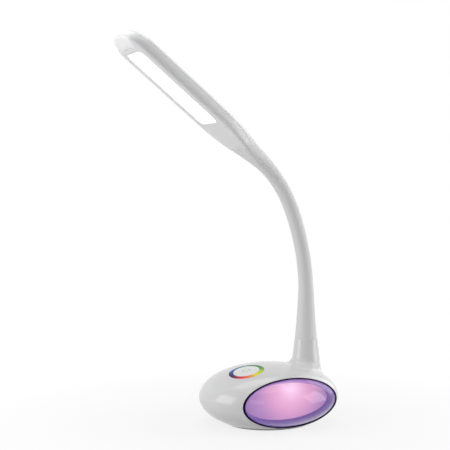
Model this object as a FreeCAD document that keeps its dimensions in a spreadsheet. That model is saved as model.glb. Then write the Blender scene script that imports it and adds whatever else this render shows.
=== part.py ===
import FreeCAD, Part

import math
import os
import re

import Sketcher

Vector = FreeCAD.Vector
Rotation = FreeCAD.Rotation
Placement = FreeCAD.Placement

# Desk lamp with a pebble-shaped base, an oval light window, a flexible neck and a long LED head.
# Frame: +Z up, origin on the table under the centre of the base, the window faces -Y and the
# head reaches towards -X. Millimetres.

doc = FreeCAD.newDocument("desk_lamp")
sheet = doc.addObject("Spreadsheet::Sheet", "sizes")

SIZES = {
    # base shell: an ellipsoid cut flat underneath, with a conical stem moulded on
    "base_half_length": 79.5,
    "base_half_width": 72.5,
    "base_half_height": 36.5,
    "base_centre_height": 29.8,
    "base_wall": 2.6,
    "base_bottom_height": 2.2,
    "stem_offset": "=base_half_length * 48.5 / 79.5",
    "stem_root_height": 38.8,
    "stem_top_height": 91.3,
    "stem_root_radius": 19.3,
    "stem_top_radius": 12.8,
    "stem_fillet_radius": 13.0,
    "stem_wall": 2.4,
    "stem_plate_thickness": 4.0,
    "stem_pocket_depth": 6.0,
    "stem_pocket_radius": 9.8,
    # underside
    "cover_thickness": 1.4,
    "cover_inset": 3.0,
    "boss_radius": 4.5,
    "boss_height": 3.6,
    "boss_spread_length": "=base_half_length * 36.0 / 79.5",
    "boss_spread_width": "=base_half_width * 24.0 / 72.5",
    "ballast_half_length": "=base_half_length * 52.0 / 79.5",
    "ballast_half_width": "=base_half_width * 36.0 / 72.5",
    "ballast_thickness": 3.5,
    "ballast_step_half_length": "=base_half_length * 38.0 / 79.5",
    "ballast_step_half_width": "=base_half_width * 25.5 / 72.5",
    "ballast_step_thickness": 4.5,
    "base_screw_radius": 1.5,
    "base_screw_head_radius": 2.8,
    "base_screw_engagement": 3.4,
    "foot_inset": 1.5,
    # light window in the front of the base
    "window_plane_distance": "=base_half_width * 49.0 / 72.5",
    "gasket_width": 1.4,
    "gasket_thickness": 1.4,
    "gasket_clearance": 0.03,
    "cover_wall": 1.8,
    "seat_clearance": 0.15,
    "tub_flange_thickness": 1.2,
    "tub_mouth_half_length": "=base_half_length * 54.6 / 79.5",
    "tub_mouth_half_height": 23.6,
    "tub_back_half_length": "=base_half_length * 51.6 / 79.5",
    "tub_back_half_height": 19.8,
    "tub_depth": 9.5,
    "tub_wall": 1.2,
    "back_flange_half_length": "=base_half_length * 55.2 / 79.5",
    "back_flange_half_height": 23.6,
    "back_flange_thickness": 1.2,
    "diffuser_overlap": 0.9,
    "diffuser_thickness": 2.0,
    "light_box_depth": 10.0,
    "light_box_wall": 1.5,
    "rgb_board_half_length": "=base_half_length * 47.0 / 79.5",
    "rgb_board_half_height": 15.0,
    "board_thickness": 1.6,
    "rgb_led_side": 5.0,
    "rgb_led_height": 1.4,
    "rgb_led_pitch": 15.0,
    "box_screw_radius": 0.9,
    "wire_hole_spread": 1.8,
    # touch key and its ring
    "touch_centre_length": "=base_half_length * 34.7 / 79.5",
    "touch_centre_width": "=base_half_width * 11.6 / 72.5",
    "ring_outer_radius": 19.4,
    "ring_inner_radius": 14.7,
    "touch_depth": 5.5,
    "touch_boss_radius": 23.6,
    "touch_tool_reach": 12.0,
    "pad_skirt_wall": 1.8,
    "pad_thickness": 2.2,
    "touch_led_count": 8,
    "touch_led_side": 1.8,
    "touch_led_height": 0.8,
    "touch_screw_count": 3,
    "touch_screw_radius": 0.9,
    "touch_screw_engagement": 2.0,
    # control electronics
    "control_length": 52.0,
    "control_width": 36.0,
    "control_offset_width": 6.0,
    "standoff_height": 5.0,
    "standoff_radius": 2.8,
    "standoff_inset": 4.0,
    "board_screw_radius": 1.1,
    "chip_side": 9.0,
    "chip_height": 1.4,
    "inductor_radius": 5.0,
    "inductor_height": 5.5,
    "capacitor_radius": 4.0,
    "capacitor_height": 9.0,
    "socket_length": 8.0,
    "socket_width": 6.0,
    "socket_height": 5.0,
    "wire_radius": 1.1,
    "wire_bend_radius": 3.0,
    "cable_bend_radius": 18.0,
    # power inlet
    "jack_offset": 14.0,
    "jack_axis_height": 23.8,
    "jack_radius": 5.5,
    "jack_flange_radius": 8.4,
    "jack_flange_thickness": 1.6,
    "jack_boss_face": "=base_half_width * 61.6 / 72.5",
    "jack_boss_radius": 9.0,
    "jack_face": "=base_half_width * 67.6 / 72.5",
    "jack_length": 14.0,
    "jack_bore_radius": 2.85,
    "jack_bore_depth": 9.5,
    "jack_pin_radius": 1.05,
    # flexible neck: straight, a wide bend, a tighter bend, straight
    "neck_first_straight": 48.0,
    "neck_first_bend_radius": 260.0,
    "neck_first_bend_angle": 23.0,
    "neck_second_bend_radius": 130.0,
    "neck_second_bend_angle": 28.8,
    "neck_last_straight": 30.5,
    "neck_joint_spacing": 45.0,
    "sleeve_radius": 8.1,
    "sleeve_flare": 4.4,
    "sleeve_flare_length": 84.0,
    "sleeve_flare_power": 1.8,
    "boot_spread_length": 60.0,
    "boot_spread_power": 2.2,
    "sleeve_bore_radius": 6.5,
    "link_ball_radius": 4.0,
    "link_ball_clearance": 0.05,
    "link_rim_drop": 0.4,
    "link_cup_radius": 5.4,
    "link_cup_length": 6.0,
    "link_tube_radius": 4.0,
    "link_neck_radius": 2.9,
    "link_bore_radius": 1.9,
    "fitting_flange_radius": 9.6,
    "fitting_flange_thickness": 3.0,
    "stud_radius": 5.0,
    "stud_length": 13.0,
    "stud_clearance": 0.15,
    "nut_width": 15.0,
    "nut_height": 5.0,
    "washer_radius": 9.6,
    "washer_thickness": 1.2,
    # head
    "head_half_width": 31.0,
    "head_length": 180.6,
    "head_thickness": 18.0,
    "head_underside_drop": 7.8,
    "head_top_rounding": "=head_thickness * 14.8 / 18.0",
    "head_bottom_rounding": "=head_thickness * 3.0 / 18.0",
    "head_cavity_rounding": "=head_thickness * 0.8 / 18.0",
    "head_rear_half_width": 22.0,
    "head_shoulder_length": 40.0,
    "head_split_height": 12.0,
    "head_wall": 2.4,
    "head_floor": 2.2,
    "head_lip_height": 1.0,
    "head_lip_wall": 1.2,
    "head_seam_inset": (
        "=head_top_rounding - sqrt((head_top_rounding - head_wall)^2"
        " - (head_top_rounding - head_thickness + head_split_height)^2)"
    ),
    "head_lip_root": 2.0,
    "panel_start": 42.5,
    "panel_length": 112.5,
    "panel_width": 40.4,
    "panel_corner_radius": 6.0,
    "panel_recess": 1.0,
    "panel_flange": 1.6,
    "panel_flange_thickness": 1.4,
    "panel_clearance": 0.2,
    "frame_height": 3.6,
    "frame_wall": 1.4,
    "head_led_side": 3.0,
    "head_led_height": 0.8,
    "head_led_columns": 12,
    "heat_plate_thickness": 1.0,
    "heat_plate_start": 54.0,
    "head_board_half_width": 26.2,
    "head_board_clearance": 1.5,
    "head_boss_radius": 2.0,
    "head_boss_offset": 23.9,
    "head_screw_radius": 0.9,
    "connector_length": 7.0,
    "connector_width": 12.0,
    "connector_height": 5.0,
    "clamp_start": 8.0,
    "clamp_length": 14.0,
    "clamp_half_width": 12.0,
    "clamp_height": 11.6,
    "clamp_screw_offset": 8.5,
    "clamp_screw_radius": 1.25,
    "neck_tube_reach": 25.0,
    "finger_slot_start": 160.5,
    "finger_slot_length": 1.8,
    "finger_slot_width": 17.0,
    "finger_slot_depth": 0.8,
}

for row, (alias, number) in enumerate(SIZES.items(), start=1):
    sheet.set(f"A{row}", alias)
    sheet.set(f"B{row}", str(number))
    sheet.setAlias(f"B{row}", alias)
doc.recompute()

PARTS = []


def size(alias):
    """The number that the sheet holds under an alias."""
    return float(sheet.get(alias))


def expression(text):
    """Puts the sheet's name before each alias in a formula."""
    return re.sub(
        r"[a-z_]+[a-z]",
        lambda m: "sizes." + m.group(0) if m.group(0) in SIZES else m.group(0),
        text,
    )


def bind(item, **formulas):
    """Ties properties of an object to formulas on the sheet."""
    for name, formula in formulas.items():
        item.setExpression(name, expression(str(formula)))
    return item


def place(item, x=0, y=0, z=0, rotation=None):
    """Stands an object at formulas or numbers, with an optional fixed rotation."""
    if rotation is not None:
        item.Placement = Placement(Vector(), rotation)
    for axis, formula in zip("xyz", (x, y, z)):
        item.setExpression(f"Placement.Base.{axis}", expression(str(formula)))
    return item


def box(name, length, width, height, x=0, y=0, z=0):
    """A box centred on x and y that starts at z."""
    item = bind(doc.addObject("Part::Box", name), Length=length, Width=width, Height=height)
    return place(item, f"({x}) - ({length}) / 2", f"({y}) - ({width}) / 2", z)


def cylinder(name, radius, height, x=0, y=0, z=0, rotation=None):
    item = bind(doc.addObject("Part::Cylinder", name), Radius=radius, Height=height)
    return place(item, x, y, z, rotation)


def cone(name, low_radius, high_radius, height, x=0, y=0, z=0):
    item = bind(doc.addObject("Part::Cone", name), Radius1=low_radius, Radius2=high_radius, Height=height)
    return place(item, x, y, z)


QUARTER_TURN = Rotation(Vector(0, 0, 1), 90)
HALF_TURN = Rotation(Vector(0, 0, 1), 180)


def ellipsoid(name, inset):
    """The base's ellipsoid, made smaller all round by inset."""
    item = bind(
        doc.addObject("Part::Ellipsoid", name),
        Radius1=f"base_half_height - ({inset})",
        Radius2=f"base_half_length - ({inset})",
        Radius3=f"base_half_width - ({inset})",
    )
    item.Angle1 = -90
    item.Angle2 = 90
    return place(item, z="base_centre_height", rotation=HALF_TURN)


def joined(name, *items):
    item = doc.addObject("Part::MultiFuse", name)
    item.Shapes = list(items)
    return item


def cut(name, base, *tools):
    item = doc.addObject("Part::Cut", name)
    item.Base = base
    item.Tool = tools[0] if len(tools) == 1 else joined(name + "_tools", *tools)
    return item


def common(name, *items):
    item = doc.addObject("Part::MultiCommon", name)
    item.Shapes = list(items)
    return item


def part(item, label):
    """Marks an object as a finished sub-part, whose label names its file."""
    item.Label = label
    PARTS.append(item)
    return item


def shape_part(label, shape):
    """A free-form sub-part whose shape is worked out here from the sheet's sizes."""
    item = doc.addObject("Part::Feature", label)
    item.Shape = shape
    return part(item, label)


def grouped(label, items):
    """Separate equal solids that share one sub-part."""
    item = doc.addObject("Part::Compound", label)
    item.Links = list(items)
    return part(item, label)


# ---------------------------------------------------------------------------
# Neck centre line: where a point at a given length along it lies and heads
# ---------------------------------------------------------------------------

STEM_TOP = Vector(size("stem_offset"), 0, size("stem_top_height"))


def neck_arc(start, lean, radius, turn):
    """The end of an arc in the X-Z plane that leans over towards -X by turn degrees."""
    first = math.radians(lean)
    last = math.radians(lean + turn)
    return start + Vector(
        radius * (math.cos(last) - math.cos(first)), 0, radius * (math.sin(last) - math.sin(first))
    )


def neck_direction(lean):
    return Vector(-math.sin(math.radians(lean)), 0, math.cos(math.radians(lean)))


NECK_SPANS = (
    (size("neck_first_straight"), None),
    (
        math.radians(size("neck_first_bend_angle")) * size("neck_first_bend_radius"),
        size("neck_first_bend_radius"),
    ),
    (
        math.radians(size("neck_second_bend_angle")) * size("neck_second_bend_radius"),
        size("neck_second_bend_radius"),
    ),
    (size("neck_last_straight"), None),
)
NECK_BENT_LENGTH = sum(length for length, radius in NECK_SPANS[:3])
NECK_LENGTH = sum(length for length, radius in NECK_SPANS)


def neck_point(distance):
    """The point at a distance along the neck's centre line, and the lean there from upright."""
    point = Vector(STEM_TOP)
    lean = 0.0
    left = distance
    for length, radius in NECK_SPANS:
        step = left if length is NECK_SPANS[-1][0] else min(left, length)
        if radius is None:
            point = point + neck_direction(lean) * step
        else:
            turn = math.degrees(step / radius)
            point = neck_arc(point, lean, radius, turn)
            lean += turn
        left -= step
        if left <= 0:
            break
    return point, lean


def upright_placement(distance):
    """A placement whose Z runs along the neck and whose Y stays sideways."""
    point, lean = neck_point(distance)
    return Placement(point, Rotation(Vector(0, 1, 0), -lean))


# The neck bends at five joints; the last is where its second bend ends.
JOINT_COUNT = 5
JOINTS = [NECK_BENT_LENGTH - size("neck_joint_spacing") * (JOINT_COUNT - 1 - k) for k in range(JOINT_COUNT)]
JOINT_POINTS = [neck_point(distance)[0] for distance in JOINTS]

# The head's own frame: X towards its tip, Y towards the window side, Z out of its top.
HEAD_ORIGIN, HEAD_LEAN = neck_point(NECK_LENGTH)
HEAD_ALONG = neck_direction(HEAD_LEAN)
HEAD_SIDE = Vector(0, -1, 0)
HEAD_UP = HEAD_ALONG.cross(HEAD_SIDE)
HEAD_PLACEMENT = Placement(HEAD_ORIGIN, Rotation(HEAD_ALONG, HEAD_SIDE, HEAD_UP, "XYZ"))

# ---------------------------------------------------------------------------
# Base shell: hollow ellipsoid and stem in one moulding
# ---------------------------------------------------------------------------

TURN_FRONT = Rotation(Vector(1, 0, 0), 90)
TURN_BACK = Rotation(Vector(1, 0, 0), -90)

# Direction that the base's skin faces at the touch key, and the point on the skin there.
touch_level = 1 - (size("touch_centre_length") / size("base_half_length")) ** 2
touch_level -= (size("touch_centre_width") / size("base_half_width")) ** 2
TOUCH_POINT = Vector(
    -size("touch_centre_length"),
    -size("touch_centre_width"),
    size("base_centre_height") + size("base_half_height") * math.sqrt(touch_level),
)
TOUCH_NORMAL = Vector(
    TOUCH_POINT.x / size("base_half_length") ** 2,
    TOUCH_POINT.y / size("base_half_width") ** 2,
    (TOUCH_POINT.z - size("base_centre_height")) / size("base_half_height") ** 2,
).normalize()
TOUCH_ROTATION = Rotation(Vector(0, 0, 1), TOUCH_NORMAL)


def touch_cylinder(name, radius, low, high, angle=None, spread=0.0):
    """A cylinder along the touch key's axis, from low to high above the skin there."""
    item = bind(doc.addObject("Part::Cylinder", name), Radius=radius, Height=f"({high}) - ({low})")
    offset = Vector(0, 0, 0)
    if angle is not None:
        offset = Vector(spread * math.cos(math.radians(angle)), spread * math.sin(math.radians(angle)), 0)
    depth = sheet_value(low)
    item.Placement = Placement(
        TOUCH_POINT + TOUCH_ROTATION.multVec(offset + Vector(0, 0, depth)), TOUCH_ROTATION
    )
    return item


def sheet_value(formula):
    """The number that a formula on the sheet works out to."""
    names = {alias: size(alias) for alias in SIZES}
    for alias in sorted(names, key=len, reverse=True):
        formula = re.sub(rf"\b{alias}\b", repr(names[alias]), str(formula))
    return float(FreeCAD.Units.Quantity(formula).Value)


base_screw_places = [
    ("boss_spread_length", "boss_spread_width"),
    ("-boss_spread_length", "boss_spread_width"),
    ("-boss_spread_length", "-boss_spread_width"),
    ("boss_spread_length", "-boss_spread_width"),
]

shell_outer = ellipsoid("shell_outer", 0)
stem_cone = cone(
    "stem_cone",
    "stem_root_radius",
    "stem_top_radius",
    "stem_top_height - stem_root_height",
    x="stem_offset",
    z="stem_root_height",
)
shell_solid = joined("shell_solid", shell_outer, stem_cone)
doc.recompute()

shell_filleted = doc.addObject("Part::Fillet", "shell_filleted")
shell_filleted.Base = shell_solid
stem_edges = []
for number, edge in enumerate(shell_solid.Shape.Edges, start=1):
    bounds = edge.BoundBox
    meets_dome = bounds.ZMax < size("stem_top_height") - 1 and bounds.XMin > size("stem_offset") - 2 * size(
        "stem_root_radius"
    )
    if meets_dome and bounds.YLength > size("stem_top_radius"):
        stem_edges.append((number, size("stem_fillet_radius"), size("stem_fillet_radius")))
shell_filleted.Edges = stem_edges

stem_slope = "(stem_root_radius - stem_top_radius) / (stem_top_height - stem_root_height)"
stem_plate_height = "stem_top_height - stem_pocket_depth - stem_plate_thickness"
stem_hollow = cone(
    "stem_hollow",
    "stem_root_radius - stem_wall",
    f"stem_top_radius - stem_wall + {stem_slope} * (stem_pocket_depth + stem_plate_thickness)",
    f"{stem_plate_height} - stem_root_height",
    x="stem_offset",
    z="stem_root_height",
)
bosses = [
    cylinder(f"cover_boss_{k}", "boss_radius", "boss_height + 2", x, y, "base_bottom_height - 2")
    for k, (x, y) in enumerate(base_screw_places, start=1)
]
touch_boss = touch_cylinder("touch_boss", "touch_boss_radius", "-touch_depth", "touch_tool_reach")
jack_boss = cylinder(
    "jack_boss",
    "jack_boss_radius",
    "base_half_width - jack_boss_face",
    "jack_offset",
    "jack_boss_face",
    "jack_axis_height",
    TURN_BACK,
)
shell_cavity = cut("shell_cavity", ellipsoid("cavity_space", "base_wall"), *bosses, touch_boss, jack_boss)

front_cut = box(
    "front_cut",
    "4 * base_half_length",
    "base_half_width",
    "4 * base_half_height",
    y="-window_plane_distance - base_half_width / 2",
    z="-base_half_height",
)
bottom_cut = box(
    "bottom_cut",
    "4 * base_half_length",
    "4 * base_half_width",
    "base_half_height",
    z="base_bottom_height - base_half_height",
)
touch_screw_angles = [
    30 + 360 / size("touch_screw_count") * k for k in range(int(size("touch_screw_count")))
]
touch_screw_spread = (size("ring_outer_radius") + size("touch_boss_radius")) / 2
touch_screw_bores = [
    touch_cylinder(
        f"touch_screw_bore_{k}",
        "touch_screw_radius",
        "-touch_depth",
        "touch_screw_engagement - touch_depth",
        angle,
        touch_screw_spread,
    )
    for k, angle in enumerate(touch_screw_angles, start=1)
]
touch_hole = touch_cylinder(
    "touch_hole", "ring_outer_radius + seat_clearance", "-touch_depth - 1", "touch_tool_reach"
)
jack_hole = cylinder(
    "jack_hole",
    "jack_radius + seat_clearance",
    "base_half_width",
    "jack_offset",
    "jack_boss_face - 5",
    "jack_axis_height",
    TURN_BACK,
)
jack_counterbore = cylinder(
    "jack_counterbore",
    "jack_radius + 1",
    "base_half_width",
    "jack_offset",
    "jack_face",
    "jack_axis_height",
    TURN_BACK,
)
stem_pocket = cylinder(
    "stem_pocket",
    "stem_pocket_radius",
    "stem_pocket_depth + 1",
    "stem_offset",
    0,
    "stem_top_height - stem_pocket_depth",
)
stud_hole = cylinder(
    "stud_hole",
    "stud_radius + stud_clearance",
    "stem_top_height - stem_root_height",
    "stem_offset",
    0,
    "stem_root_height",
)
base_screw_holes = [
    cylinder(
        f"base_screw_hole_{k}",
        "base_screw_radius + seat_clearance",
        "boss_height + 2",
        x,
        y,
        "base_bottom_height - 1",
    )
    for k, (x, y) in enumerate(base_screw_places, start=1)
]


def oval(name, half_length, half_height, distance):
    """An ellipse facing the front, at a distance from the base's centre towards -Y."""
    item = bind(doc.addObject("Part::Ellipse", name), MajorRadius=half_length, MinorRadius=half_height)
    return place(item, 0, f"-({distance})", "base_centre_height", TURN_FRONT)


def oval_block(name, near, far):
    """A solid between two ovals, each given as half length, half height and distance."""
    item = doc.addObject("Part::Loft", name)
    item.Sections = [oval(name + "_near", *near), oval(name + "_far", *far)]
    item.Solid = True
    item.Ruled = True
    return item


def oval_plate(name, half_length, half_height, back, front):
    return oval_block(name, (half_length, half_height, back), (half_length, half_height, front))


# Half sizes of the shell's skin where the window plane cuts it.
rim_share = "sqrt(1 - (window_plane_distance / base_half_width)^2)"
rim_half_length = f"base_half_length * {rim_share}"
rim_half_height = f"base_half_height * {rim_share}"
seat_half_length = f"{rim_half_length} - 1.8"
seat_half_height = f"{rim_half_height} - 1.4"
seat_depth = "window_plane_distance - tub_flange_thickness"

flange_seat = oval_plate(
    "flange_seat", seat_half_length, seat_half_height, seat_depth, "window_plane_distance + 1"
)
base_shell = part(
    cut(
        "base_shell_solid",
        shell_filleted,
        shell_cavity,
        stem_hollow,
        front_cut,
        bottom_cut,
        touch_hole,
        jack_hole,
        jack_counterbore,
        stem_pocket,
        stud_hole,
        flange_seat,
        *base_screw_holes,
        *touch_screw_bores,
    ),
    "base_shell",
)

# ---------------------------------------------------------------------------
# Underside: cover, feet, ballast and the screws that clamp them together
# ---------------------------------------------------------------------------

bottom_share = "sqrt(1 - ((base_centre_height - base_bottom_height) / base_half_height)^2)"


def upright_oval(name, half_length, half_width, low, thickness):
    """An elliptical plate parallel to the table."""
    wider = sheet_value(half_width) > sheet_value(half_length)
    longer, shorter = (half_width, half_length) if wider else (half_length, half_width)
    ellipse = bind(
        doc.addObject("Part::Ellipse", name + "_outline"), MajorRadius=longer, MinorRadius=shorter
    )
    place(ellipse, z=low, rotation=QUARTER_TURN if wider else None)
    item = doc.addObject("Part::Extrusion", name)
    item.Base = ellipse
    item.Dir = Vector(0, 0, 1)
    item.Solid = True
    return bind(item, LengthFwd=thickness)


cover_bottom = "base_bottom_height - cover_thickness"

cover_plate = upright_oval(
    "cover_plate",
    f"base_half_length * {bottom_share} - cover_inset",
    f"base_half_width * {bottom_share} - cover_inset",
    cover_bottom,
    "cover_thickness",
)
cover_screw_holes = []
base_screws = []
for k, (x, y) in enumerate(base_screw_places, start=1):
    shank_hole = cylinder(
        f"cover_shank_hole_{k}", "base_screw_radius + seat_clearance", "cover_thickness + 2", x, y, f"{cover_bottom} - 1"
    )
    sink = cone(
        f"cover_sink_{k}",
        "base_screw_head_radius",
        "base_screw_radius",
        "base_screw_head_radius - base_screw_radius",
        x,
        y,
        cover_bottom,
    )
    cover_screw_holes += [shank_hole, sink]
    screw_head = cone(
        f"base_screw_head_{k}",
        "base_screw_head_radius",
        "base_screw_radius",
        "base_screw_head_radius - base_screw_radius",
        x,
        y,
        cover_bottom,
    )
    screw_shank = cylinder(
        f"base_screw_shank_{k}",
        "base_screw_radius",
        "cover_thickness + boss_height + base_screw_engagement",
        x,
        y,
        cover_bottom,
    )
    base_screws.append(joined(f"base_screw_{k}", screw_head, screw_shank))
base_cover = part(cut("base_cover_solid", cover_plate, *cover_screw_holes), "base_cover")
grouped("base_screws", base_screws)
part(
    upright_oval(
        "foot_pad_solid",
        f"base_half_length * {bottom_share} - cover_inset - foot_inset",
        f"base_half_width * {bottom_share} - cover_inset - foot_inset",
        "0",
        cover_bottom,
    ),
    "foot_pad",
)

ballast_height = "base_bottom_height + boss_height"
ballast_disc = upright_oval(
    "ballast_disc", "ballast_half_length", "ballast_half_width", ballast_height, "ballast_thickness"
)
ballast_holes = [
    cylinder(f"ballast_hole_{k}", "base_screw_radius", "base_screw_engagement", x, y, ballast_height)
    for k, (x, y) in enumerate(base_screw_places, start=1)
]
ballast_step = upright_oval(
    "ballast_step",
    "ballast_step_half_length",
    "ballast_step_half_width",
    f"{ballast_height} + ballast_thickness",
    "ballast_step_thickness",
)
part(
    cut("ballast_plate_solid", joined("ballast_block", ballast_disc, ballast_step), *ballast_holes),
    "ballast_plate",
)

# ---------------------------------------------------------------------------
# Light window: clear dome, gasket, tub, diffuser and the lit box behind it
# ---------------------------------------------------------------------------


def front_slab(name, back, front):
    """Everything between two planes facing the front."""
    return box(
        name,
        "4 * base_half_length",
        f"({front}) - ({back})",
        "4 * base_half_height",
        y=f"-(({front}) + ({back})) / 2",
        z="-base_half_height",
    )




def skin_oval(inset, distance, margin):
    """Half length, half height and distance of the oval where a plane cuts an inset skin."""
    share = f"sqrt(1 - (({distance}) / (base_half_width - {inset}))^2)"
    return f"(base_half_length - {inset}) * {share} + {margin}", f"(base_half_height - {inset}) * {share} + {margin}", distance


gasket_face = "window_plane_distance + gasket_thickness"
gasket_outside = oval_block(
    "gasket_outside", skin_oval("0", "window_plane_distance", "0"), skin_oval("0", gasket_face, "0")
)
gasket_inside = oval_block(
    "gasket_inside",
    skin_oval("gasket_width", "window_plane_distance", "gasket_clearance"),
    skin_oval("gasket_width", gasket_face, "gasket_clearance"),
)
part(cut("window_gasket_solid", gasket_outside, gasket_inside), "window_gasket")

dome_shell = cut(
    "dome_shell", ellipsoid("dome_skin", "gasket_width"), ellipsoid(
        "dome_inside", "gasket_width + cover_wall"
    )
)
part(
    common(
        "window_cover_solid",
        dome_shell,
        front_slab("dome_slab", "window_plane_distance", "base_half_width + 1"),
    ),
    "window_cover",
)

tub_back = "window_plane_distance - tub_depth"
tub_outside = oval_block(
    "tub_outside",
    ("tub_back_half_length + tub_wall", "tub_back_half_height + tub_wall", tub_back),
    (
        "tub_mouth_half_length + tub_wall / 2",
        "tub_mouth_half_height + tub_wall / 2",
        "window_plane_distance",
    ),
)
tub_flange = oval_plate(
    "tub_flange",
    f"{seat_half_length} - seat_clearance",
    f"{seat_half_height} - seat_clearance",
    seat_depth,
    "window_plane_distance",
)
tub_back_flange = oval_plate(
    "tub_back_flange",
    "back_flange_half_length",
    "back_flange_half_height",
    tub_back,
    f"{tub_back} + back_flange_thickness",
)
tub_inside = oval_block(
    "tub_inside",
    ("tub_back_half_length", "tub_back_half_height", tub_back),
    ("tub_mouth_half_length", "tub_mouth_half_height", "window_plane_distance"),
)

box_screw_place = "(tub_back_half_length + diffuser_overlap + back_flange_half_length) / 2"
diffuser_back = f"{tub_back} - diffuser_thickness"
box_screws = []
box_screw_holes = []
for side, x in (("left", f"-{box_screw_place}"), ("right", box_screw_place)):
    hole = cylinder(
        f"box_screw_hole_{side}",
        "box_screw_radius",
        "diffuser_thickness + 2 * back_flange_thickness + 2",
        x,
        f"-({diffuser_back} - back_flange_thickness - 1)",
        "base_centre_height",
        TURN_FRONT,
    )
    box_screw_holes.append(hole)
    shank = cylinder(
        f"box_screw_shank_{side}",
        "box_screw_radius",
        "diffuser_thickness + 2 * back_flange_thickness",
        x,
        f"-({diffuser_back} - back_flange_thickness)",
        "base_centre_height",
        TURN_FRONT,
    )
    head = cylinder(
        f"box_screw_head_{side}",
        "2 * box_screw_radius",
        "box_screw_radius",
        x,
        f"-({diffuser_back} - back_flange_thickness - box_screw_radius)",
        "base_centre_height",
        TURN_FRONT,
    )
    box_screws.append(joined(f"box_screw_{side}", shank, head))

tub_solid = joined("tub_solid", tub_outside, tub_flange, tub_back_flange)
part(cut("light_tub_solid", tub_solid, tub_inside, *box_screw_holes), "light_tub")
part(
    oval_plate(
        "window_diffuser_solid",
        "tub_back_half_length + diffuser_overlap",
        "tub_back_half_height + diffuser_overlap",
        diffuser_back,
        tub_back,
    ),
    "window_diffuser",
)

# The box's front flange meets the tub's back flange round the edge of the diffuser.
box_rim_back = f"{diffuser_back} - back_flange_thickness"
box_back = f"{diffuser_back} - light_box_depth"
light_box_outside = joined(
    "light_box_outside",
    oval_plate(
        "light_box_flange",
        "back_flange_half_length",
        "back_flange_half_height",
        box_rim_back,
        tub_back,
    ),
    oval_plate("light_box_cup", "tub_back_half_length", "tub_back_half_height", box_back, diffuser_back),
)
light_box_seat = oval_plate(
    "light_box_seat",
    "tub_back_half_length + diffuser_overlap",
    "tub_back_half_height + diffuser_overlap",
    diffuser_back,
    f"{tub_back} + 1",
)
light_box_inside = oval_plate(
    "light_box_inside",
    "tub_back_half_length - light_box_wall",
    "tub_back_half_height - light_box_wall",
    f"{box_back} + light_box_wall",
    tub_back,
)
wire_sides = {"left": "-wire_hole_spread", "right": "wire_hole_spread"}
light_wire_height = "base_centre_height - 2"
wire_holes = [
    cylinder(
        f"wire_hole_{side}",
        "wire_radius + seat_clearance",
        "light_box_wall + 2",
        x,
        f"-({box_back} - 1)",
        light_wire_height,
        TURN_FRONT,
    )
    for side, x in wire_sides.items()
]
part(
    cut(
        "light_box_solid",
        light_box_outside,
        light_box_seat,
        light_box_inside,
        *box_screw_holes,
        *wire_holes,
    ),
    "light_box",
)
grouped("light_box_screws", box_screws)

rgb_board_back = f"{box_back} + light_box_wall"
rgb_board_front = f"{rgb_board_back} + board_thickness"
part(
    oval_plate(
        "rgb_board_solid",
        "rgb_board_half_length",
        "rgb_board_half_height",
        rgb_board_back,
        rgb_board_front,
    ),
    "rgb_board",
)
rgb_leds = []
for row, columns in ((-1, (-1.5, -0.5, 0.5, 1.5)), (0, (-2, -1, 0, 1, 2)), (1, (-1.5, -0.5, 0.5, 1.5))):
    for column in columns:
        rgb_leds.append(
            box(
                f"rgb_led_{len(rgb_leds) + 1}",
                "rgb_led_side",
                "rgb_led_height",
                "rgb_led_side",
                f"{column} * rgb_led_pitch",
                f"-({rgb_board_front} + rgb_led_height / 2)",
                f"base_centre_height - rgb_led_side / 2 + {row} * 0.6 * rgb_led_pitch",
            )
        )
grouped("rgb_leds", rgb_leds)

# ---------------------------------------------------------------------------
# Touch key: pad, rainbow ring, and the board under them
# ---------------------------------------------------------------------------

touch_led_angles = [360 / size("touch_led_count") * k for k in range(int(size("touch_led_count")))]
touch_led_spread = (size("ring_outer_radius") + size("ring_inner_radius")) / 2
ring_body = common(
    "ring_body",
    ellipsoid("ring_skin", 0),
    touch_cylinder("ring_block", "ring_outer_radius", "-touch_depth", "touch_tool_reach"),
)
ring_pockets = [
    touch_cylinder(
        f"ring_pocket_{k}", "touch_led_side", "-touch_depth - 1", "2 * touch_led_height - touch_depth", angle, touch_led_spread
    )
    for k, angle in enumerate(touch_led_angles, start=1)
]
ring_hole = touch_cylinder("ring_hole", "ring_inner_radius", "-touch_depth - 1", "touch_tool_reach")
part(cut("touch_ring_solid", ring_body, ring_hole, *ring_pockets), "touch_ring")

pad_body = common(
    "pad_body",
    ellipsoid("pad_skin", 0),
    touch_cylinder("pad_block", "ring_inner_radius - seat_clearance", "-touch_depth", "touch_tool_reach"),
)
pad_hollow = touch_cylinder(
    "pad_hollow", "ring_inner_radius - pad_skirt_wall - seat_clearance", "-touch_depth - 1", "-pad_thickness"
)
part(cut("touch_pad_solid", pad_body, pad_hollow), "touch_pad")

touch_board_disc = touch_cylinder(
    "touch_board_disc", "touch_boss_radius", "-touch_depth - board_thickness", "-touch_depth"
)
touch_board_holes = [
    touch_cylinder(
        f"touch_board_hole_{k}",
        "touch_screw_radius",
        "-touch_depth - 2 * board_thickness",
        "1 - touch_depth",
        angle,
        touch_screw_spread,
    )
    for k, angle in enumerate(touch_screw_angles, start=1)
]
part(cut("touch_board_solid", touch_board_disc, *touch_board_holes), "touch_board")
touch_screws = []
for k, angle in enumerate(touch_screw_angles, start=1):
    shank = touch_cylinder(
        f"touch_screw_shank_{k}",
        "touch_screw_radius",
        "-touch_depth - board_thickness",
        "touch_screw_engagement - touch_depth",
        angle,
        touch_screw_spread,
    )
    head = touch_cylinder(
        f"touch_screw_head_{k}",
        "2 * touch_screw_radius",
        "-touch_depth - board_thickness - touch_screw_radius",
        "-touch_depth - board_thickness",
        angle,
        touch_screw_spread,
    )
    touch_screws.append(joined(f"touch_screw_{k}", shank, head))
grouped("touch_board_screws", touch_screws)
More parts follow.
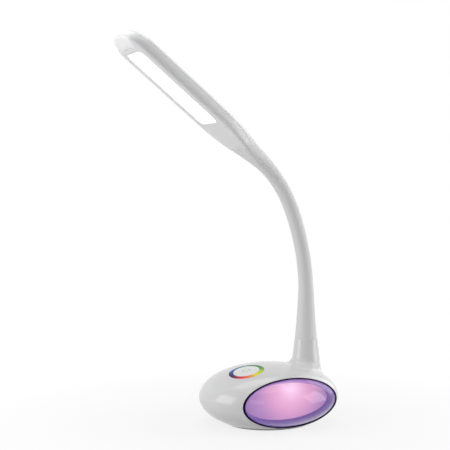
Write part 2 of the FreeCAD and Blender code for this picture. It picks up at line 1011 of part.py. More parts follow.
touch_leds = [
    touch_cylinder(
        f"touch_led_{k}", "touch_led_side / 2", "-touch_depth", "touch_led_height - touch_depth", angle, touch_led_spread
    )
    for k, angle in enumerate(touch_led_angles, start=1)
]
grouped("touch_leds", touch_leds)

# ---------------------------------------------------------------------------
# Control board on standoffs above the ballast
# ---------------------------------------------------------------------------

ballast_top = f"{ballast_height} + ballast_thickness + ballast_step_thickness"
control_bottom = f"{ballast_top} + standoff_height"
control_top = f"{control_bottom} + board_thickness"
standoff_places = [
    (
        f"{i} * (control_length / 2 - standoff_inset)",
        f"control_offset_width + {j} * (control_width / 2 - standoff_inset)",
    )
    for i in (-1, 1)
    for j in (-1, 1)
]
standoffs = []
board_screws = []
control_holes = []
for k, (x, y) in enumerate(standoff_places, start=1):
    post = cylinder(f"standoff_post_{k}", "standoff_radius", "standoff_height", x, y, ballast_top)
    bore = cylinder(f"standoff_bore_{k}", "board_screw_radius", "standoff_height", x, y, ballast_top)
    standoffs.append(cut(f"standoff_{k}", post, bore))
    control_holes.append(
        cylinder(f"control_hole_{k}", "board_screw_radius", "2 * board_thickness", x, y, control_bottom)
    )
    shank = cylinder(
        f"board_screw_shank_{k}",
        "board_screw_radius",
        "board_thickness + standoff_height / 2",
        x,
        y,
        f"{control_bottom} - standoff_height / 2",
    )
    head = cylinder(
        f"board_screw_head_{k}", "2 * board_screw_radius", "board_screw_radius", x, y, control_top
    )
    board_screws.append(joined(f"board_screw_{k}", shank, head))
control_plate = box(
    "control_plate", "control_length", "control_width", "board_thickness", y="control_offset_width", z=control_bottom
)
part(cut("control_board_solid", control_plate, *control_holes), "control_board")
grouped("board_standoffs", standoffs)
grouped("board_screws", board_screws)
part(
    box(
        "control_chip_solid",
        "chip_side",
        "chip_side",
        "chip_height",
        0,
        "control_offset_width",
        control_top,
    ),
    "control_chip",
)
part(
    cylinder(
        "power_inductor_solid",
        "inductor_radius",
        "inductor_height",
        "-control_length / 4",
        "control_offset_width + control_width / 6",
        control_top,
    ),
    "power_inductor",
)
part(
    cylinder(
        "power_capacitor_solid",
        "capacitor_radius",
        "capacitor_height",
        0,
        "control_offset_width + control_width / 2 - capacitor_radius - 1",
        control_top,
    ),
    "power_capacitor",
)
socket_middle = f"{control_top} + socket_height / 2"
neck_socket = ("control_length / 2 - socket_width / 2", "0")
light_socket = ("0", "control_offset_width - control_width / 2 + socket_width / 2")
touch_socket = ("-control_length / 2 + socket_width / 2", "0")
power_socket = ("control_length / 4 + 2", "control_offset_width + control_width / 2 - socket_width / 2")
grouped(
    "board_sockets",
    [
        box("socket_neck", "socket_width", "socket_length", "socket_height", *neck_socket, control_top),
        box("socket_light", "socket_length", "socket_width", "socket_height", *light_socket, control_top),
        box("socket_touch", "socket_width", "socket_length", "socket_height", *touch_socket, control_top),
        box("socket_power", "socket_length", "socket_width", "socket_height", *power_socket, control_top),
    ],
)

# ---------------------------------------------------------------------------
# Power inlet: a barrel socket with a centre pin, in the back of the base
# ---------------------------------------------------------------------------

jack_back = "jack_face - jack_length"
jack_barrel = cylinder(
    "jack_barrel", "jack_radius", "jack_length", "jack_offset", jack_back, "jack_axis_height", TURN_BACK
)
jack_flange = cylinder(
    "jack_flange",
    "jack_flange_radius",
    "jack_flange_thickness",
    "jack_offset",
    "jack_boss_face - jack_flange_thickness",
    "jack_axis_height",
    TURN_BACK,
)
jack_bore = cylinder(
    "jack_bore",
    "jack_bore_radius",
    "jack_bore_depth + 1",
    "jack_offset",
    "jack_face - jack_bore_depth",
    "jack_axis_height",
    TURN_BACK,
)
jack_pin_hole = cylinder(
    "jack_pin_hole", "jack_pin_radius", "jack_length", "jack_offset", jack_back, "jack_axis_height", TURN_BACK
)
part(
    cut("dc_jack_solid", joined("jack_body", jack_barrel, jack_flange), jack_bore, jack_pin_hole),
    "dc_jack",
)
part(
    cylinder(
        "dc_pin_solid",
        "jack_pin_radius",
        "jack_length - 0.8",
        "jack_offset",
        jack_back,
        "jack_axis_height",
        TURN_BACK,
    ),
    "dc_pin",
)

# ---------------------------------------------------------------------------
# Neck: clamped root fitting, four hollow links on ball ends, head fitting
# ---------------------------------------------------------------------------



def link_cup(length):
    """The lower end of a link: a cup over the ball below, narrowing to the tube."""
    cup = size("link_cup_radius")
    tube = size("link_tube_radius")
    top = size("link_cup_length")
    shoulder = Part.makeCone(cup, tube, cup - tube, Vector(0, 0, top))
    body = Part.makeCylinder(cup, top + size("link_rim_drop"), Vector(0, 0, -size("link_rim_drop"))).fuse(shoulder)
    body = body.fuse(Part.makeCylinder(tube, length - top, Vector(0, 0, top)))
    return body


def link_ball(at):
    """The upper end of a link: its tube narrows to a neck under a ball at height at."""
    ball = size("link_ball_radius")
    neck = size("link_neck_radius")
    tube = size("link_tube_radius")
    low = at - ball - 3 * (tube - neck)
    taper = Part.makeCone(tube, neck, tube - neck, Vector(0, 0, low))
    post = Part.makeCylinder(neck, at - low, Vector(0, 0, low))
    return taper.fuse(post).fuse(Part.makeSphere(ball, Vector(0, 0, at))), low


def bore_of(length):
    """The wire bore of a link, opening out where the next link leans over."""
    bore = size("link_bore_radius")
    ball = size("link_ball_radius")
    straight = Part.makeCylinder(bore, length + ball, Vector(0, 0, 0))
    flare = Part.makeCone(bore, bore + 1.3, ball + 1, Vector(0, 0, length - 0.5))
    return straight.fuse(flare)


def cup_hollow():
    return Part.makeSphere(size("link_ball_radius") + size("link_ball_clearance"), Vector())


def along(start, end):
    """A placement at start whose Z points at end and whose Y stays sideways."""
    run = end - start
    return Placement(start, Rotation(Vector(0, 1, 0), math.degrees(math.atan2(run.x, run.z))))


def neck_link(length):
    ball, low = link_ball(length)
    body = link_cup(low).fuse(ball)
    return body.cut(cup_hollow()).cut(bore_of(length)).removeSplitter()


for k in range(JOINT_COUNT - 1):
    link = neck_link((JOINT_POINTS[k + 1] - JOINT_POINTS[k]).Length)
    link.Placement = along(JOINT_POINTS[k], JOINT_POINTS[k + 1])
    shape_part(f"hose_link_{k + 1}", link)

# Root fitting: flange in the stem's pocket, stud through the plate, ball at the first joint.
pocket_floor = size("stem_top_height") - size("stem_pocket_depth")
root_length = JOINTS[0] + size("stem_pocket_depth")
root_ball, root_low = link_ball(root_length)
root_fitting = Part.makeCylinder(size("fitting_flange_radius"), size("fitting_flange_thickness"))
root_fitting = root_fitting.fuse(Part.makeCylinder(size("link_tube_radius"), root_low))
root_fitting = root_fitting.fuse(root_ball)
root_fitting = root_fitting.fuse(
    Part.makeCylinder(size("stud_radius"), size("stud_length"), Vector(0, 0, -size("stud_length")))
)
root_bore = bore_of(root_length).fuse(
    Part.makeCylinder(
        size("link_bore_radius"), size("stud_length") + 1, Vector(0, 0, -size("stud_length") - 1)
    )
)
root_fitting = root_fitting.cut(root_bore).removeSplitter()
root_fitting.Placement = Placement(Vector(STEM_TOP.x, 0, pocket_floor), Rotation())
shape_part("arm_root_fitting", root_fitting)

washer_bottom = f"{stem_plate_height} - washer_thickness"
part(
    cut(
        "arm_root_washer_solid",
        cylinder("washer_disc", "washer_radius", "washer_thickness", "stem_offset", 0, washer_bottom),
        cylinder(
            "washer_hole",
            "stud_radius + stud_clearance",
            "washer_thickness",
            "stem_offset",
            0,
            washer_bottom,
        ),
    ),
    "arm_root_washer",
)
nut_blank = bind(
    doc.addObject("Part::Prism", "nut_blank"),
    Circumradius="nut_width / sqrt(3)",
    Height="nut_height",
)
nut_blank.Polygon = 6
place(nut_blank, "stem_offset", 0, f"{washer_bottom} - nut_height")
part(
    cut(
        "arm_root_nut_solid",
        nut_blank,
        cylinder(
            "nut_thread",
            "stud_radius",
            "nut_height",
            "stem_offset",
            0,
            f"{washer_bottom} - nut_height",
        ),
    ),
    "arm_root_nut",
)

# Head fitting: a cup on the last joint and a straight tube into the head.
fitting_reach = NECK_LENGTH - JOINTS[-1] + size("neck_tube_reach")
head_fitting = link_cup(fitting_reach).cut(cup_hollow())
head_fitting = head_fitting.cut(Part.makeCylinder(size("link_bore_radius"), fitting_reach)).removeSplitter()
head_fitting.Placement = along(JOINT_POINTS[-1], HEAD_ORIGIN)
shape_part("arm_head_fitting", head_fitting)

# ---------------------------------------------------------------------------
# Rubber sleeve, cut at the joints, and the boot that spreads out to the head
# ---------------------------------------------------------------------------

SECTION_POINTS = 36


def sleeve_section(distance):
    """Half width, height above and depth below the centre line, and squareness, at a distance."""
    radius = size("sleeve_radius")
    radius += size("sleeve_flare") * max(0.0, 1 - distance / size("sleeve_flare_length")) ** size("sleeve_flare_power")
    share = max(0.0, 1 - (NECK_LENGTH - distance) / size("boot_spread_length"))
    spread = share** size("boot_spread_power")
    half_width = radius + (size("head_rear_half_width") - radius) * spread
    above = radius + (size("head_thickness") - size("head_underside_drop") - radius) * share
    below = radius + (size("head_underside_drop") - radius) * share
    return half_width, above, below, 2 + spread


def sleeve_wire(distance):
    """A closed curve round the neck: two half superellipses, the lower one squarer."""
    half_width, above, below, power = sleeve_section(distance)
    frame = upright_placement(distance)
    points = []
    for k in range(SECTION_POINTS):
        angle = 2 * math.pi * k / SECTION_POINTS
        side = math.copysign(abs(math.cos(angle)) ** (2 / power), math.cos(angle))
        rise = math.copysign(abs(math.sin(angle)) ** (2 / power), math.sin(angle))
        reach = above if rise > 0 else below
        points.append(frame.multVec(Vector(reach * rise, half_width * side, 0)))
    curve = Part.BSplineCurve()
    curve.interpolate(Points=points, PeriodicFlag=True)
    return Part.Wire(curve.toShape())


def bore_wire(distance):
    frame = upright_placement(distance)
    circle = Part.makeCircle(
        size("sleeve_bore_radius"), frame.Base, frame.Rotation.multVec(Vector(0, 0, 1))
    )
    return Part.Wire(circle)


def stations(start, end, count):
    return [start + (end - start) * k / count for k in range(count + 1)]


def sleeve_length(start, end, count=5):
    """A hollow length of sleeve between two distances along the neck."""
    skin = Part.makeLoft([sleeve_wire(distance) for distance in stations(start, end, count)], True, False)
    bore = Part.makeLoft([bore_wire(distance) for distance in stations(start, end, count)], True, False)
    return skin.cut(bore)


sleeve_ends = [0.0] + JOINTS
for k in range(JOINT_COUNT):
    shape_part(f"neck_sleeve_{k + 1}", sleeve_length(sleeve_ends[k], sleeve_ends[k + 1]))
shape_part("head_boot", sleeve_length(JOINTS[-1], NECK_LENGTH, 6))

# ---------------------------------------------------------------------------
# Head shells: one rounded outline, split into a lower and an upper cover
# ---------------------------------------------------------------------------


def sketch_on(body, name, height):
    """A sketch parallel to a body's own XY plane, at a height above it."""
    sketch = body.newObject("Sketcher::SketchObject", name)
    plane = [item for item in body.Origin.OriginFeatures if item.Role == "XY_Plane"][0]
    sketch.AttachmentSupport = [(plane, "")]
    sketch.MapMode = "FlatFace"
    sketch.setExpression("AttachmentOffset.Base.z", expression(str(height)))
    return sketch


def limit(sketch, kind, first, formula):
    """A dimension in a sketch, tied to a formula."""
    start = sheet_value(formula)
    index = sketch.addConstraint(Sketcher.Constraint(kind, *first, start))
    sketch.setExpression(f"Constraints[{index}]", expression(str(formula)))


def pad(body, sketch, name, length):
    item = body.newObject("PartDesign::Pad", name)
    item.Profile = sketch
    item.setExpression("Length", expression(str(length)))
    return item


def pocket(body, sketch, name, length, upwards):
    """Removes material above (upwards) or below a sketch over a length."""
    item = body.newObject("PartDesign::Pocket", name)
    item.Profile = sketch
    item.Reversed = upwards
    item.setExpression("Length", expression(str(length)))
    return item


def head_outline(body, name, height, inset):
    """The head seen from above: a rear edge, two shoulders, straight sides and a round nose."""
    sketch = sketch_on(body, name, height)
    wall = sheet_value(inset)
    rear = size("head_rear_half_width") - wall
    half = size("head_half_width") - wall
    shoulder = size("head_shoulder_length")
    centre = size("head_length") - size("head_half_width")
    corners = [
        Vector(wall, -rear, 0),
        Vector(shoulder, -half, 0),
        Vector(centre, -half, 0),
        Vector(centre, half, 0),
        Vector(shoulder, half, 0),
        Vector(wall, rear, 0),
    ]
    for first, second in ((0, 1), (1, 2), (3, 4), (4, 5), (5, 0)):
        sketch.addGeometry(Part.LineSegment(corners[first], corners[second]), False)
    nose = Part.Arc(corners[2], Vector(centre + half, 0, 0), corners[3])
    sketch.addGeometry(nose, False)
    for first, second in ((0, 1), (2, 3), (3, 4)):
        sketch.addConstraint(Sketcher.Constraint("Coincident", first, 2, second, 1))
    sketch.addConstraint(Sketcher.Constraint("Coincident", 4, 2, 0, 1))
    sketch.addConstraint(Sketcher.Constraint("Tangent", 1, 2, 5, 1))
    sketch.addConstraint(Sketcher.Constraint("Tangent", 5, 2, 2, 1))
    sketch.addConstraint(Sketcher.Constraint("Horizontal", 1))
    sketch.addConstraint(Sketcher.Constraint("Horizontal", 2))
    sketch.addConstraint(Sketcher.Constraint("Symmetric", 0, 1, 3, 2, -1))
    sketch.addConstraint(Sketcher.Constraint("Symmetric", 0, 2, 3, 1, -1))
    limit(sketch, "DistanceX", (-1, 1, 0, 1), inset)
    limit(sketch, "DistanceY", (-1, 1, 3, 2), f"head_rear_half_width - ({inset})")
    limit(sketch, "DistanceY", (-1, 1, 3, 1), f"head_half_width - ({inset})")
    limit(sketch, "DistanceX", (-1, 1, 0, 2), "head_shoulder_length")
    limit(sketch, "DistanceX", (-1, 1, 5, 3), "head_length - head_half_width")
    return sketch


def rectangle(body, name, height, start, length, half_width, corner=None):
    """A rectangle about the head's middle line, from start over a length."""
    sketch = sketch_on(body, name, height)
    low = sheet_value(start)
    high = low + sheet_value(length)
    half = sheet_value(half_width)
    points = [Vector(low, -half, 0), Vector(high, -half, 0), Vector(high, half, 0), Vector(low, half, 0)]
    for k in range(4):
        sketch.addGeometry(Part.LineSegment(points[k], points[(k + 1) % 4]), False)
    for k in range(4):
        sketch.addConstraint(Sketcher.Constraint("Coincident", k, 2, (k + 1) % 4, 1))
    sketch.addConstraint(Sketcher.Constraint("Horizontal", 0))
    sketch.addConstraint(Sketcher.Constraint("Horizontal", 2))
    sketch.addConstraint(Sketcher.Constraint("Vertical", 1))
    sketch.addConstraint(Sketcher.Constraint("Symmetric", 0, 1, 2, 2, -1))
    limit(sketch, "DistanceX", (-1, 1, 0, 1), start)
    limit(sketch, "DistanceX", (0, 1, 0, 2), length)
    limit(sketch, "DistanceY", (-1, 1, 2, 2), half_width)
    return sketch


def round_edges(body, base, name, edges, radius):
    item = body.newObject("PartDesign::Fillet", name)
    item.Base = (base, [f"Edge{number}" for number in edges])
    item.setExpression("Radius", expression(radius))
    return item


def edges_where(feature, wanted):
    return [number for number, edge in enumerate(feature.Shape.Edges, start=1) if wanted(edge.BoundBox)]


UNDERSIDE = -size("head_underside_drop")
HEAD_TOP = UNDERSIDE + size("head_thickness")
TOUCHING = 1e-3


def head_block(label):
    """The whole head as one solid with its rounded edges, in a body of its own."""
    body = doc.addObject("PartDesign::Body", label + "_body")
    block = pad(
        body,
        head_outline(body, label + "_outline", "-head_underside_drop", "0"),
        label + "_pad",
        "head_thickness",
    )
    doc.recompute()
    top = edges_where(block, lambda bounds: bounds.ZMin > HEAD_TOP - TOUCHING and bounds.XMax > TOUCHING)
    rounded = round_edges(body, block, label + "_top_round", top, "head_top_rounding")
    doc.recompute()
    low = edges_where(rounded, lambda bounds: bounds.ZMax < UNDERSIDE + TOUCHING and bounds.XMax > TOUCHING)
    rounded = round_edges(body, rounded, label + "_low_round", low, "head_bottom_rounding")
    doc.recompute()
    return body


def head_core(label):
    """The space inside the head, a wall in from its outside and a floor up from its underside."""
    body = doc.addObject("PartDesign::Body", label + "_body")
    block = pad(
        body,
        head_outline(body, label + "_outline", floor_top, "head_wall"),
        label + "_pad",
        "head_thickness - head_floor - head_wall",
    )
    doc.recompute()
    floor = sheet_value(floor_top)
    ceiling = HEAD_TOP - size("head_wall")
    rear = size("head_wall") + TOUCHING
    top = edges_where(block, lambda bounds: bounds.ZMin > ceiling - TOUCHING and bounds.XMax > rear)
    rounded = round_edges(body, block, label + "_top_round", top, "head_top_rounding - head_wall")
    doc.recompute()
    low = edges_where(rounded, lambda bounds: bounds.ZMax < floor + TOUCHING and bounds.XMax > rear)
    round_edges(body, rounded, label + "_low_round", low, "head_cavity_rounding")
    doc.recompute()
    return body


def in_head(item):
    """Moves an object from the head's own frame to its place on the neck."""
    item.Placement = HEAD_PLACEMENT.multiply(item.Placement)
    return item


split = "head_split_height - head_underside_drop"
floor_top = "head_floor - head_underside_drop"

lower = head_block("head_bottom_cover")
pocket(
    lower,
    rectangle(lower, "lower_split", split, "-head_length", "3 * head_length", "head_length"),
    "lower_split_cut",
    "head_thickness",
    True,
)
pocket(
    lower,
    rectangle(
        lower,
        "lower_opening",
        "-head_underside_drop",
        "panel_start",
        "panel_length",
        "panel_width / 2",
    ),
    "lower_opening_cut",
    "head_floor",
    True,
)
doc.recompute()
upright = edges_where(
    lower.Tip,
    lambda bounds: bounds.ZLength > size("head_floor") - TOUCHING
    and bounds.XLength < TOUCHING
    and bounds.YLength < TOUCHING
    and bounds.ZMax < sheet_value(floor_top) + TOUCHING
    and size("panel_start") - 1 < bounds.XMin < size("panel_start") + size("panel_length") + 1
    and abs(bounds.YMin) < size("panel_width") / 2 + 1,
)
round_edges(lower, lower.Tip, "lower_opening_round", upright, "panel_corner_radius")
pocket(
    lower,
    rectangle(
        lower,
        "finger_slot",
        "-head_underside_drop",
        "finger_slot_start",
        "finger_slot_length",
        "finger_slot_width / 2",
    ),
    "finger_slot_cut",
    "finger_slot_depth",
    True,
)
doc.recompute()

head_screw_places = [
    (f"panel_start + panel_length * {share}", f"{side} * head_boss_offset") for share in (0.15, 0.92) for side in (-1, 1)
]
clamp_middle = "clamp_start + clamp_length / 2"
flange_top = f"{floor_top} + panel_flange_thickness"
frame_top = f"{flange_top} + frame_height"
board_top = f"{frame_top} + board_thickness"
plate_top = f"{board_top} + heat_plate_thickness"

TURN_ALONG = Rotation(Vector(0, 1, 0), 90)
head_posts = [
    cylinder(
        f"head_post_{k}",
        "head_boss_radius",
        f"{frame_top} - ({floor_top}) + 0.5",
        x,
        y,
        f"{floor_top} - 0.5",
    )
    for k, (x, y) in enumerate(head_screw_places, start=1)
]
head_post_bores = [
    cylinder(f"head_post_bore_{k}", "head_screw_radius", f"{frame_top} - ({floor_top})", x, y, floor_top)
    for k, (x, y) in enumerate(head_screw_places, start=1)
]
clamp_screw_bores = [
    cylinder(
        f"clamp_floor_bore_{k}", "clamp_screw_radius", "head_floor / 2 + 1", clamp_middle, y, f"{floor_top} - head_floor / 2"
    )
    for k, y in enumerate(("clamp_screw_offset", "-clamp_screw_offset"), start=1)
]
rear_hole = cylinder(
    "rear_hole",
    "link_tube_radius + seat_clearance",
    "head_seam_inset + seat_clearance + head_lip_wall + 2",
    "-1",
    0,
    0,
    TURN_ALONG,
)
lower_tray = cut("lower_tray", lower, head_core("lower_space"))
lower_with_posts = joined("lower_with_posts", lower_tray, *head_posts)
part(
    in_head(
        cut("head_bottom_cover_solid", lower_with_posts, rear_hole, *head_post_bores, *clamp_screw_bores),
    ),
    "head_bottom_cover",
)

upper = head_block("head_top_cover")
pocket(
    upper,
    rectangle(upper, "upper_split", split, "-head_length", "3 * head_length", "head_length"),
    "upper_split_cut",
    "head_thickness",
    False,
)
lip_bottom = f"{split} - head_lip_height"
lip_inset = "head_seam_inset + seat_clearance"
lip = doc.addObject("PartDesign::Body", "head_lip_body")
pad(
    lip,
    head_outline(lip, "lip_outline", lip_bottom, lip_inset),
    "lip_pad",
    "head_lip_height + head_lip_root",
)
pocket(
    lip,
    head_outline(lip, "lip_inside", lip_bottom, f"{lip_inset} + head_lip_wall"),
    "lip_inside_cut",
    "head_lip_height + head_lip_root",
    True,
)
doc.recompute()
upper_tray = cut("upper_tray", upper, head_core("upper_space"))
upper_with_lip = joined("upper_with_lip", upper_tray, lip)
part(in_head(cut("head_top_cover_solid", upper_with_lip, rear_hole)), "head_top_cover")

# ---------------------------------------------------------------------------
# Head insides: diffuser, frame, LED board, heat plate, clamp and connector
# ---------------------------------------------------------------------------


def head_group(label, items):
    """Equal solids laid out in the head's own frame that share one sub-part."""
    item = doc.addObject("Part::Compound", label)
    item.Links = list(items)
    return part(in_head(item), label)


def rounded_panel(body, name, height, margin, thickness, corner):
    """Pads the panel's outline, wider by a margin, and rounds its upright edges."""
    sketch = rectangle(
        body,
        name + "_outline",
        height,
        f"panel_start - ({margin})",
        f"panel_length + 2 * ({margin})",
        f"panel_width / 2 + ({margin})",
    )
    block = pad(body, sketch, name + "_pad", thickness)
    doc.recompute()
    low = sheet_value(height)
    high = low + sheet_value(thickness)
    upright_edges = edges_where(
        block,
        lambda bounds: abs(bounds.ZMin - low) < TOUCHING
        and abs(bounds.ZMax - high) < TOUCHING
        and bounds.XLength < TOUCHING
        and bounds.YLength < TOUCHING,
    )
    rounded = round_edges(body, block, name + "_round", upright_edges, corner)
    doc.recompute()
    return rounded


panel_body = doc.addObject("PartDesign::Body", "head_diffuser_flange")
rounded_panel(
    panel_body, "panel_flange_plate", floor_top, "panel_flange", "panel_flange_thickness", "panel_corner_radius + panel_flange"
)
window_body = doc.addObject("PartDesign::Body", "head_diffuser_window")
rounded_panel(
    window_body,
    "panel_window",
    "panel_recess - head_underside_drop",
    "-panel_clearance",
    "head_floor - panel_recess",
    "panel_corner_radius - panel_clearance",
)
part(in_head(joined("head_diffuser_solid", panel_body, window_body)), "head_diffuser")

frame_outside = doc.addObject("PartDesign::Body", "head_frame_outside")
rounded_panel(
    frame_outside, "frame_block", flange_top, "panel_flange", "frame_height", "panel_corner_radius + panel_flange"
)
frame_inside = doc.addObject("PartDesign::Body", "head_frame_inside")
rounded_panel(
    frame_inside,
    "frame_space",
    flange_top,
    "panel_flange - frame_wall",
    "frame_height",
    "panel_corner_radius + panel_flange - frame_wall",
)
part(in_head(cut("head_frame_solid", frame_outside, frame_inside)), "head_frame")

panel_middle = "panel_start + panel_length / 2"
board_middle = box(
    "head_board_middle",
    "panel_length + 2 * panel_flange",
    "panel_width + 2 * panel_flange",
    "board_thickness",
    panel_middle,
    0,
    frame_top,
)
board_wings = box(
    "head_board_wings",
    "panel_length - 2 * head_board_clearance - 2",
    "2 * head_board_half_width",
    "board_thickness",
    f"{panel_middle} - 1",
    0,
    frame_top,
)
head_board_holes = [
    cylinder(f"head_board_hole_{k}", "head_screw_radius", f"{plate_top} - ({frame_top})", x, y, frame_top)
    for k, (x, y) in enumerate(head_screw_places, start=1)
]
part(
    in_head(
        cut("head_led_board_solid", joined("head_board_blank", board_middle, board_wings), *head_board_holes),
    ),
    "head_led_board",
)
plate_end = "panel_start + panel_length - head_board_clearance - 2"
heat_blank = box(
    "heat_blank",
    f"{plate_end} - heat_plate_start",
    "2 * head_board_half_width",
    "heat_plate_thickness",
    f"({plate_end} + heat_plate_start) / 2",
    0,
    board_top,
)
part(in_head(cut("head_heat_plate_solid", heat_blank, *head_board_holes)), "head_heat_plate")
head_leds = []
for row in (-0.5, 0.5):
    for column in range(int(size("head_led_columns"))):
        head_leds.append(
            box(
                f"head_led_{len(head_leds) + 1}",
                "head_led_side",
                "head_led_side",
                "head_led_height",
                f"panel_start + panel_length * ({column} + 0.5) / head_led_columns",
                f"{row} * panel_width / 2",
                f"{frame_top} - head_led_height",
            )
        )
head_group("head_leds", head_leds)
head_screws = []
for k, (x, y) in enumerate(head_screw_places, start=1):
    shank = cylinder(
        f"head_screw_shank_{k}",
        "head_screw_radius",
        f"{plate_top} - ({floor_top})",
        x,
        y,
        floor_top,
    )
    screw_head = cylinder(
        f"head_screw_head_{k}", "2 * head_screw_radius", "head_screw_radius", x, y, plate_top
    )
    head_screws.append(joined(f"head_screw_{k}", shank, screw_head))
head_group("head_board_screws", head_screws)

clamp_blank = box(
    "clamp_blank", "clamp_length", "2 * clamp_half_width", "clamp_height", clamp_middle, 0, floor_top
)
clamp_bore = cylinder(
    "clamp_bore", "link_tube_radius", "clamp_length + 2", "clamp_start - 1", 0, 0, TURN_ALONG
)
clamp_top = f"{floor_top} + clamp_height"
clamp_holes = []
clamp_screws = []
for k, y in enumerate(("clamp_screw_offset", "-clamp_screw_offset"), start=1):
    clamp_holes.append(
        cylinder(f"clamp_hole_{k}", "clamp_screw_radius", "clamp_height", clamp_middle, y, floor_top),
    )
    shank = cylinder(
        f"clamp_screw_shank_{k}",
        "clamp_screw_radius",
        "clamp_height + head_floor / 2",
        clamp_middle,
        y,
        f"{floor_top} - head_floor / 2",
    )
    screw_head = cylinder(
        f"clamp_screw_head_{k}", "2 * clamp_screw_radius", "clamp_screw_radius", clamp_middle, y, clamp_top
    )
    clamp_screws.append(joined(f"clamp_screw_{k}", shank, screw_head))
part(in_head(cut("neck_clamp_block_solid", clamp_blank, clamp_bore, *clamp_holes)), "neck_clamp_block")
head_group("neck_clamp_screws", clamp_screws)
connector_start = "panel_start + head_board_clearance"
connector = box(
    "connector_blank",
    "connector_length",
    "connector_width",
    "connector_height",
    f"{connector_start} + connector_length / 2",
    0,
    board_top,
)
head_group("head_connector", [connector])

# ---------------------------------------------------------------------------
# Wires, each a round tube of straight runs joined by tangent arcs
# ---------------------------------------------------------------------------


def wire_path(corners, bend):
    """A path through corners, where each inner corner is an arc of one bend radius."""
    edges = []
    start = corners[0]
    for before, corner, after in zip(corners, corners[1:], corners[2:]):
        inward = (before - corner).normalize()
        outward = (after - corner).normalize()
        half_angle = inward.getAngle(outward) / 2
        if half_angle > math.pi / 2 - 1e-4:
            continue
        reach = bend / math.tan(half_angle)
        middle = corner + (inward + outward).normalize() * (bend / math.sin(half_angle) - bend)
        first = corner + inward * reach
        last = corner + outward * reach
        edges.append(Part.LineSegment(start, first).toShape())
        edges.append(Part.Arc(first, middle, last).toShape())
        start = last
    edges.append(Part.LineSegment(start, corners[-1]).toShape())
    return Part.Wire(edges)


def wire_solid(corners, radius, bend):
    """A round wire swept along a path of corners."""
    direction = corners[1] - corners[0]
    profile = Part.Wire(Part.makeCircle(radius, corners[0], direction))
    return wire_path(corners, bend).makePipeShell([profile], True, False)


def point(x, y, z):
    """A point from three formulas on the sheet."""
    return Vector(sheet_value(x), sheet_value(y), sheet_value(z))


wire_spread = size("wire_hole_spread")
wire_radius = size("wire_radius")
wire_bend = size("wire_bend_radius")
socket_z = sheet_value(socket_middle)

power_face = point(power_socket[0], f"{power_socket[1]} + socket_width / 2", socket_middle)
jack_rear = point("jack_offset", jack_back, "jack_axis_height")
power_wires = []
for side in (-wire_spread, wire_spread):
    shift = Vector(side, 0, 0)
    power_wires.append(
        wire_solid(
            [
                jack_rear + shift,
                Vector(jack_rear.x, jack_rear.y - 10, jack_rear.z) + shift,
                Vector(power_face.x, power_face.y + 9, socket_z) + shift,
                power_face + shift,
            ],
            wire_radius,
            wire_bend,
        )
    )
shape_part("jack_wires", Part.makeCompound(power_wires))

light_face = point(light_socket[0], f"{light_socket[1]} - socket_width / 2", socket_middle)
light_start = point("0", f"-({rgb_board_back})", light_wire_height)
light_gap = sheet_value(f"{rgb_board_back}") - abs(light_face.y)
light_wires = []
for side in (-wire_spread, wire_spread):
    shift = Vector(side, 0, 0)
    light_wires.append(
        wire_solid(
            [
                light_start + shift,
                light_start + Vector(0, light_gap * 0.35, 0) + shift,
                light_face - Vector(0, light_gap * 0.35, 0) + shift,
                light_face + shift,
            ],
            wire_radius,
            wire_bend,
        )
    )
shape_part("light_wires", Part.makeCompound(light_wires))

touch_face = point(f"{touch_socket[0]} - socket_width / 2", touch_socket[1], socket_middle)
touch_underside = TOUCH_POINT - TOUCH_NORMAL * (size("touch_depth") + size("board_thickness"))
touch_wires = []
for side in (-wire_spread, wire_spread):
    shift = Vector(0, side, 0)
    tilted_shift = TOUCH_ROTATION.multVec(shift)
    touch_wires.append(
        wire_solid(
            [
                touch_underside + tilted_shift,
                touch_underside - TOUCH_NORMAL * 12 + tilted_shift,
                touch_face + Vector(-10, 0, 0) + shift,
                touch_face + shift,
            ],
            wire_radius,
            wire_bend,
        )
    )
shape_part("touch_wires", Part.makeCompound(touch_wires))

neck_face = point(f"{neck_socket[0]} + socket_width / 2", neck_socket[1], socket_middle)
stem_foot = Vector(size("stem_offset"), 0, socket_z)
connector_face = HEAD_PLACEMENT.multVec(
    point(connector_start, "0", f"{board_top} + connector_height / 2")
)
connector_level = HEAD_PLACEMENT.multVec(
    point(f"{connector_start} - 5", "0", f"{board_top} + connector_height / 2")
)
tube_end = HEAD_PLACEMENT.multVec(point("neck_tube_reach + 3.5", "0", "0"))
base_run = wire_path([neck_face, stem_foot, STEM_TOP], size("cable_bend_radius") / 2)
neck_run = wire_path(
    [STEM_TOP, *JOINT_POINTS, HEAD_ORIGIN + (tube_end - HEAD_ORIGIN) * 0.5],
    size("cable_bend_radius"),
)
head_run = wire_path(
    [HEAD_ORIGIN + (tube_end - HEAD_ORIGIN) * 0.5, tube_end, connector_level, connector_face],
    size("cable_bend_radius") / 3,
)
cable_profile = Part.Wire(Part.makeCircle(wire_radius, neck_face, Vector(1, 0, 0)))
cable_path = Part.Wire(base_run.Edges + neck_run.Edges + head_run.Edges)
shape_part("arm_cable", cable_path.makePipeShell([cable_profile], True, False))

# ---------------------------------------------------------------------------
# Checks and export
# ---------------------------------------------------------------------------

doc.recompute()
for item in doc.Objects:
    if "Invalid" in item.State or "Error" in item.State:
        raise RuntimeError(f"{item.Label} failed: {item.State}")
os.makedirs("parts", exist_ok=True)
for item in PARTS:
    if item.Shape.isNull() or not item.Shape.isValid():
        raise RuntimeError(f"{item.Label} has no valid shape")
    item.Shape.exportStep(f"parts/{item.Label}.step")
    print(item.Label, len(item.Shape.Solids), round(item.Shape.Volume, 1))
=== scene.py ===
import math

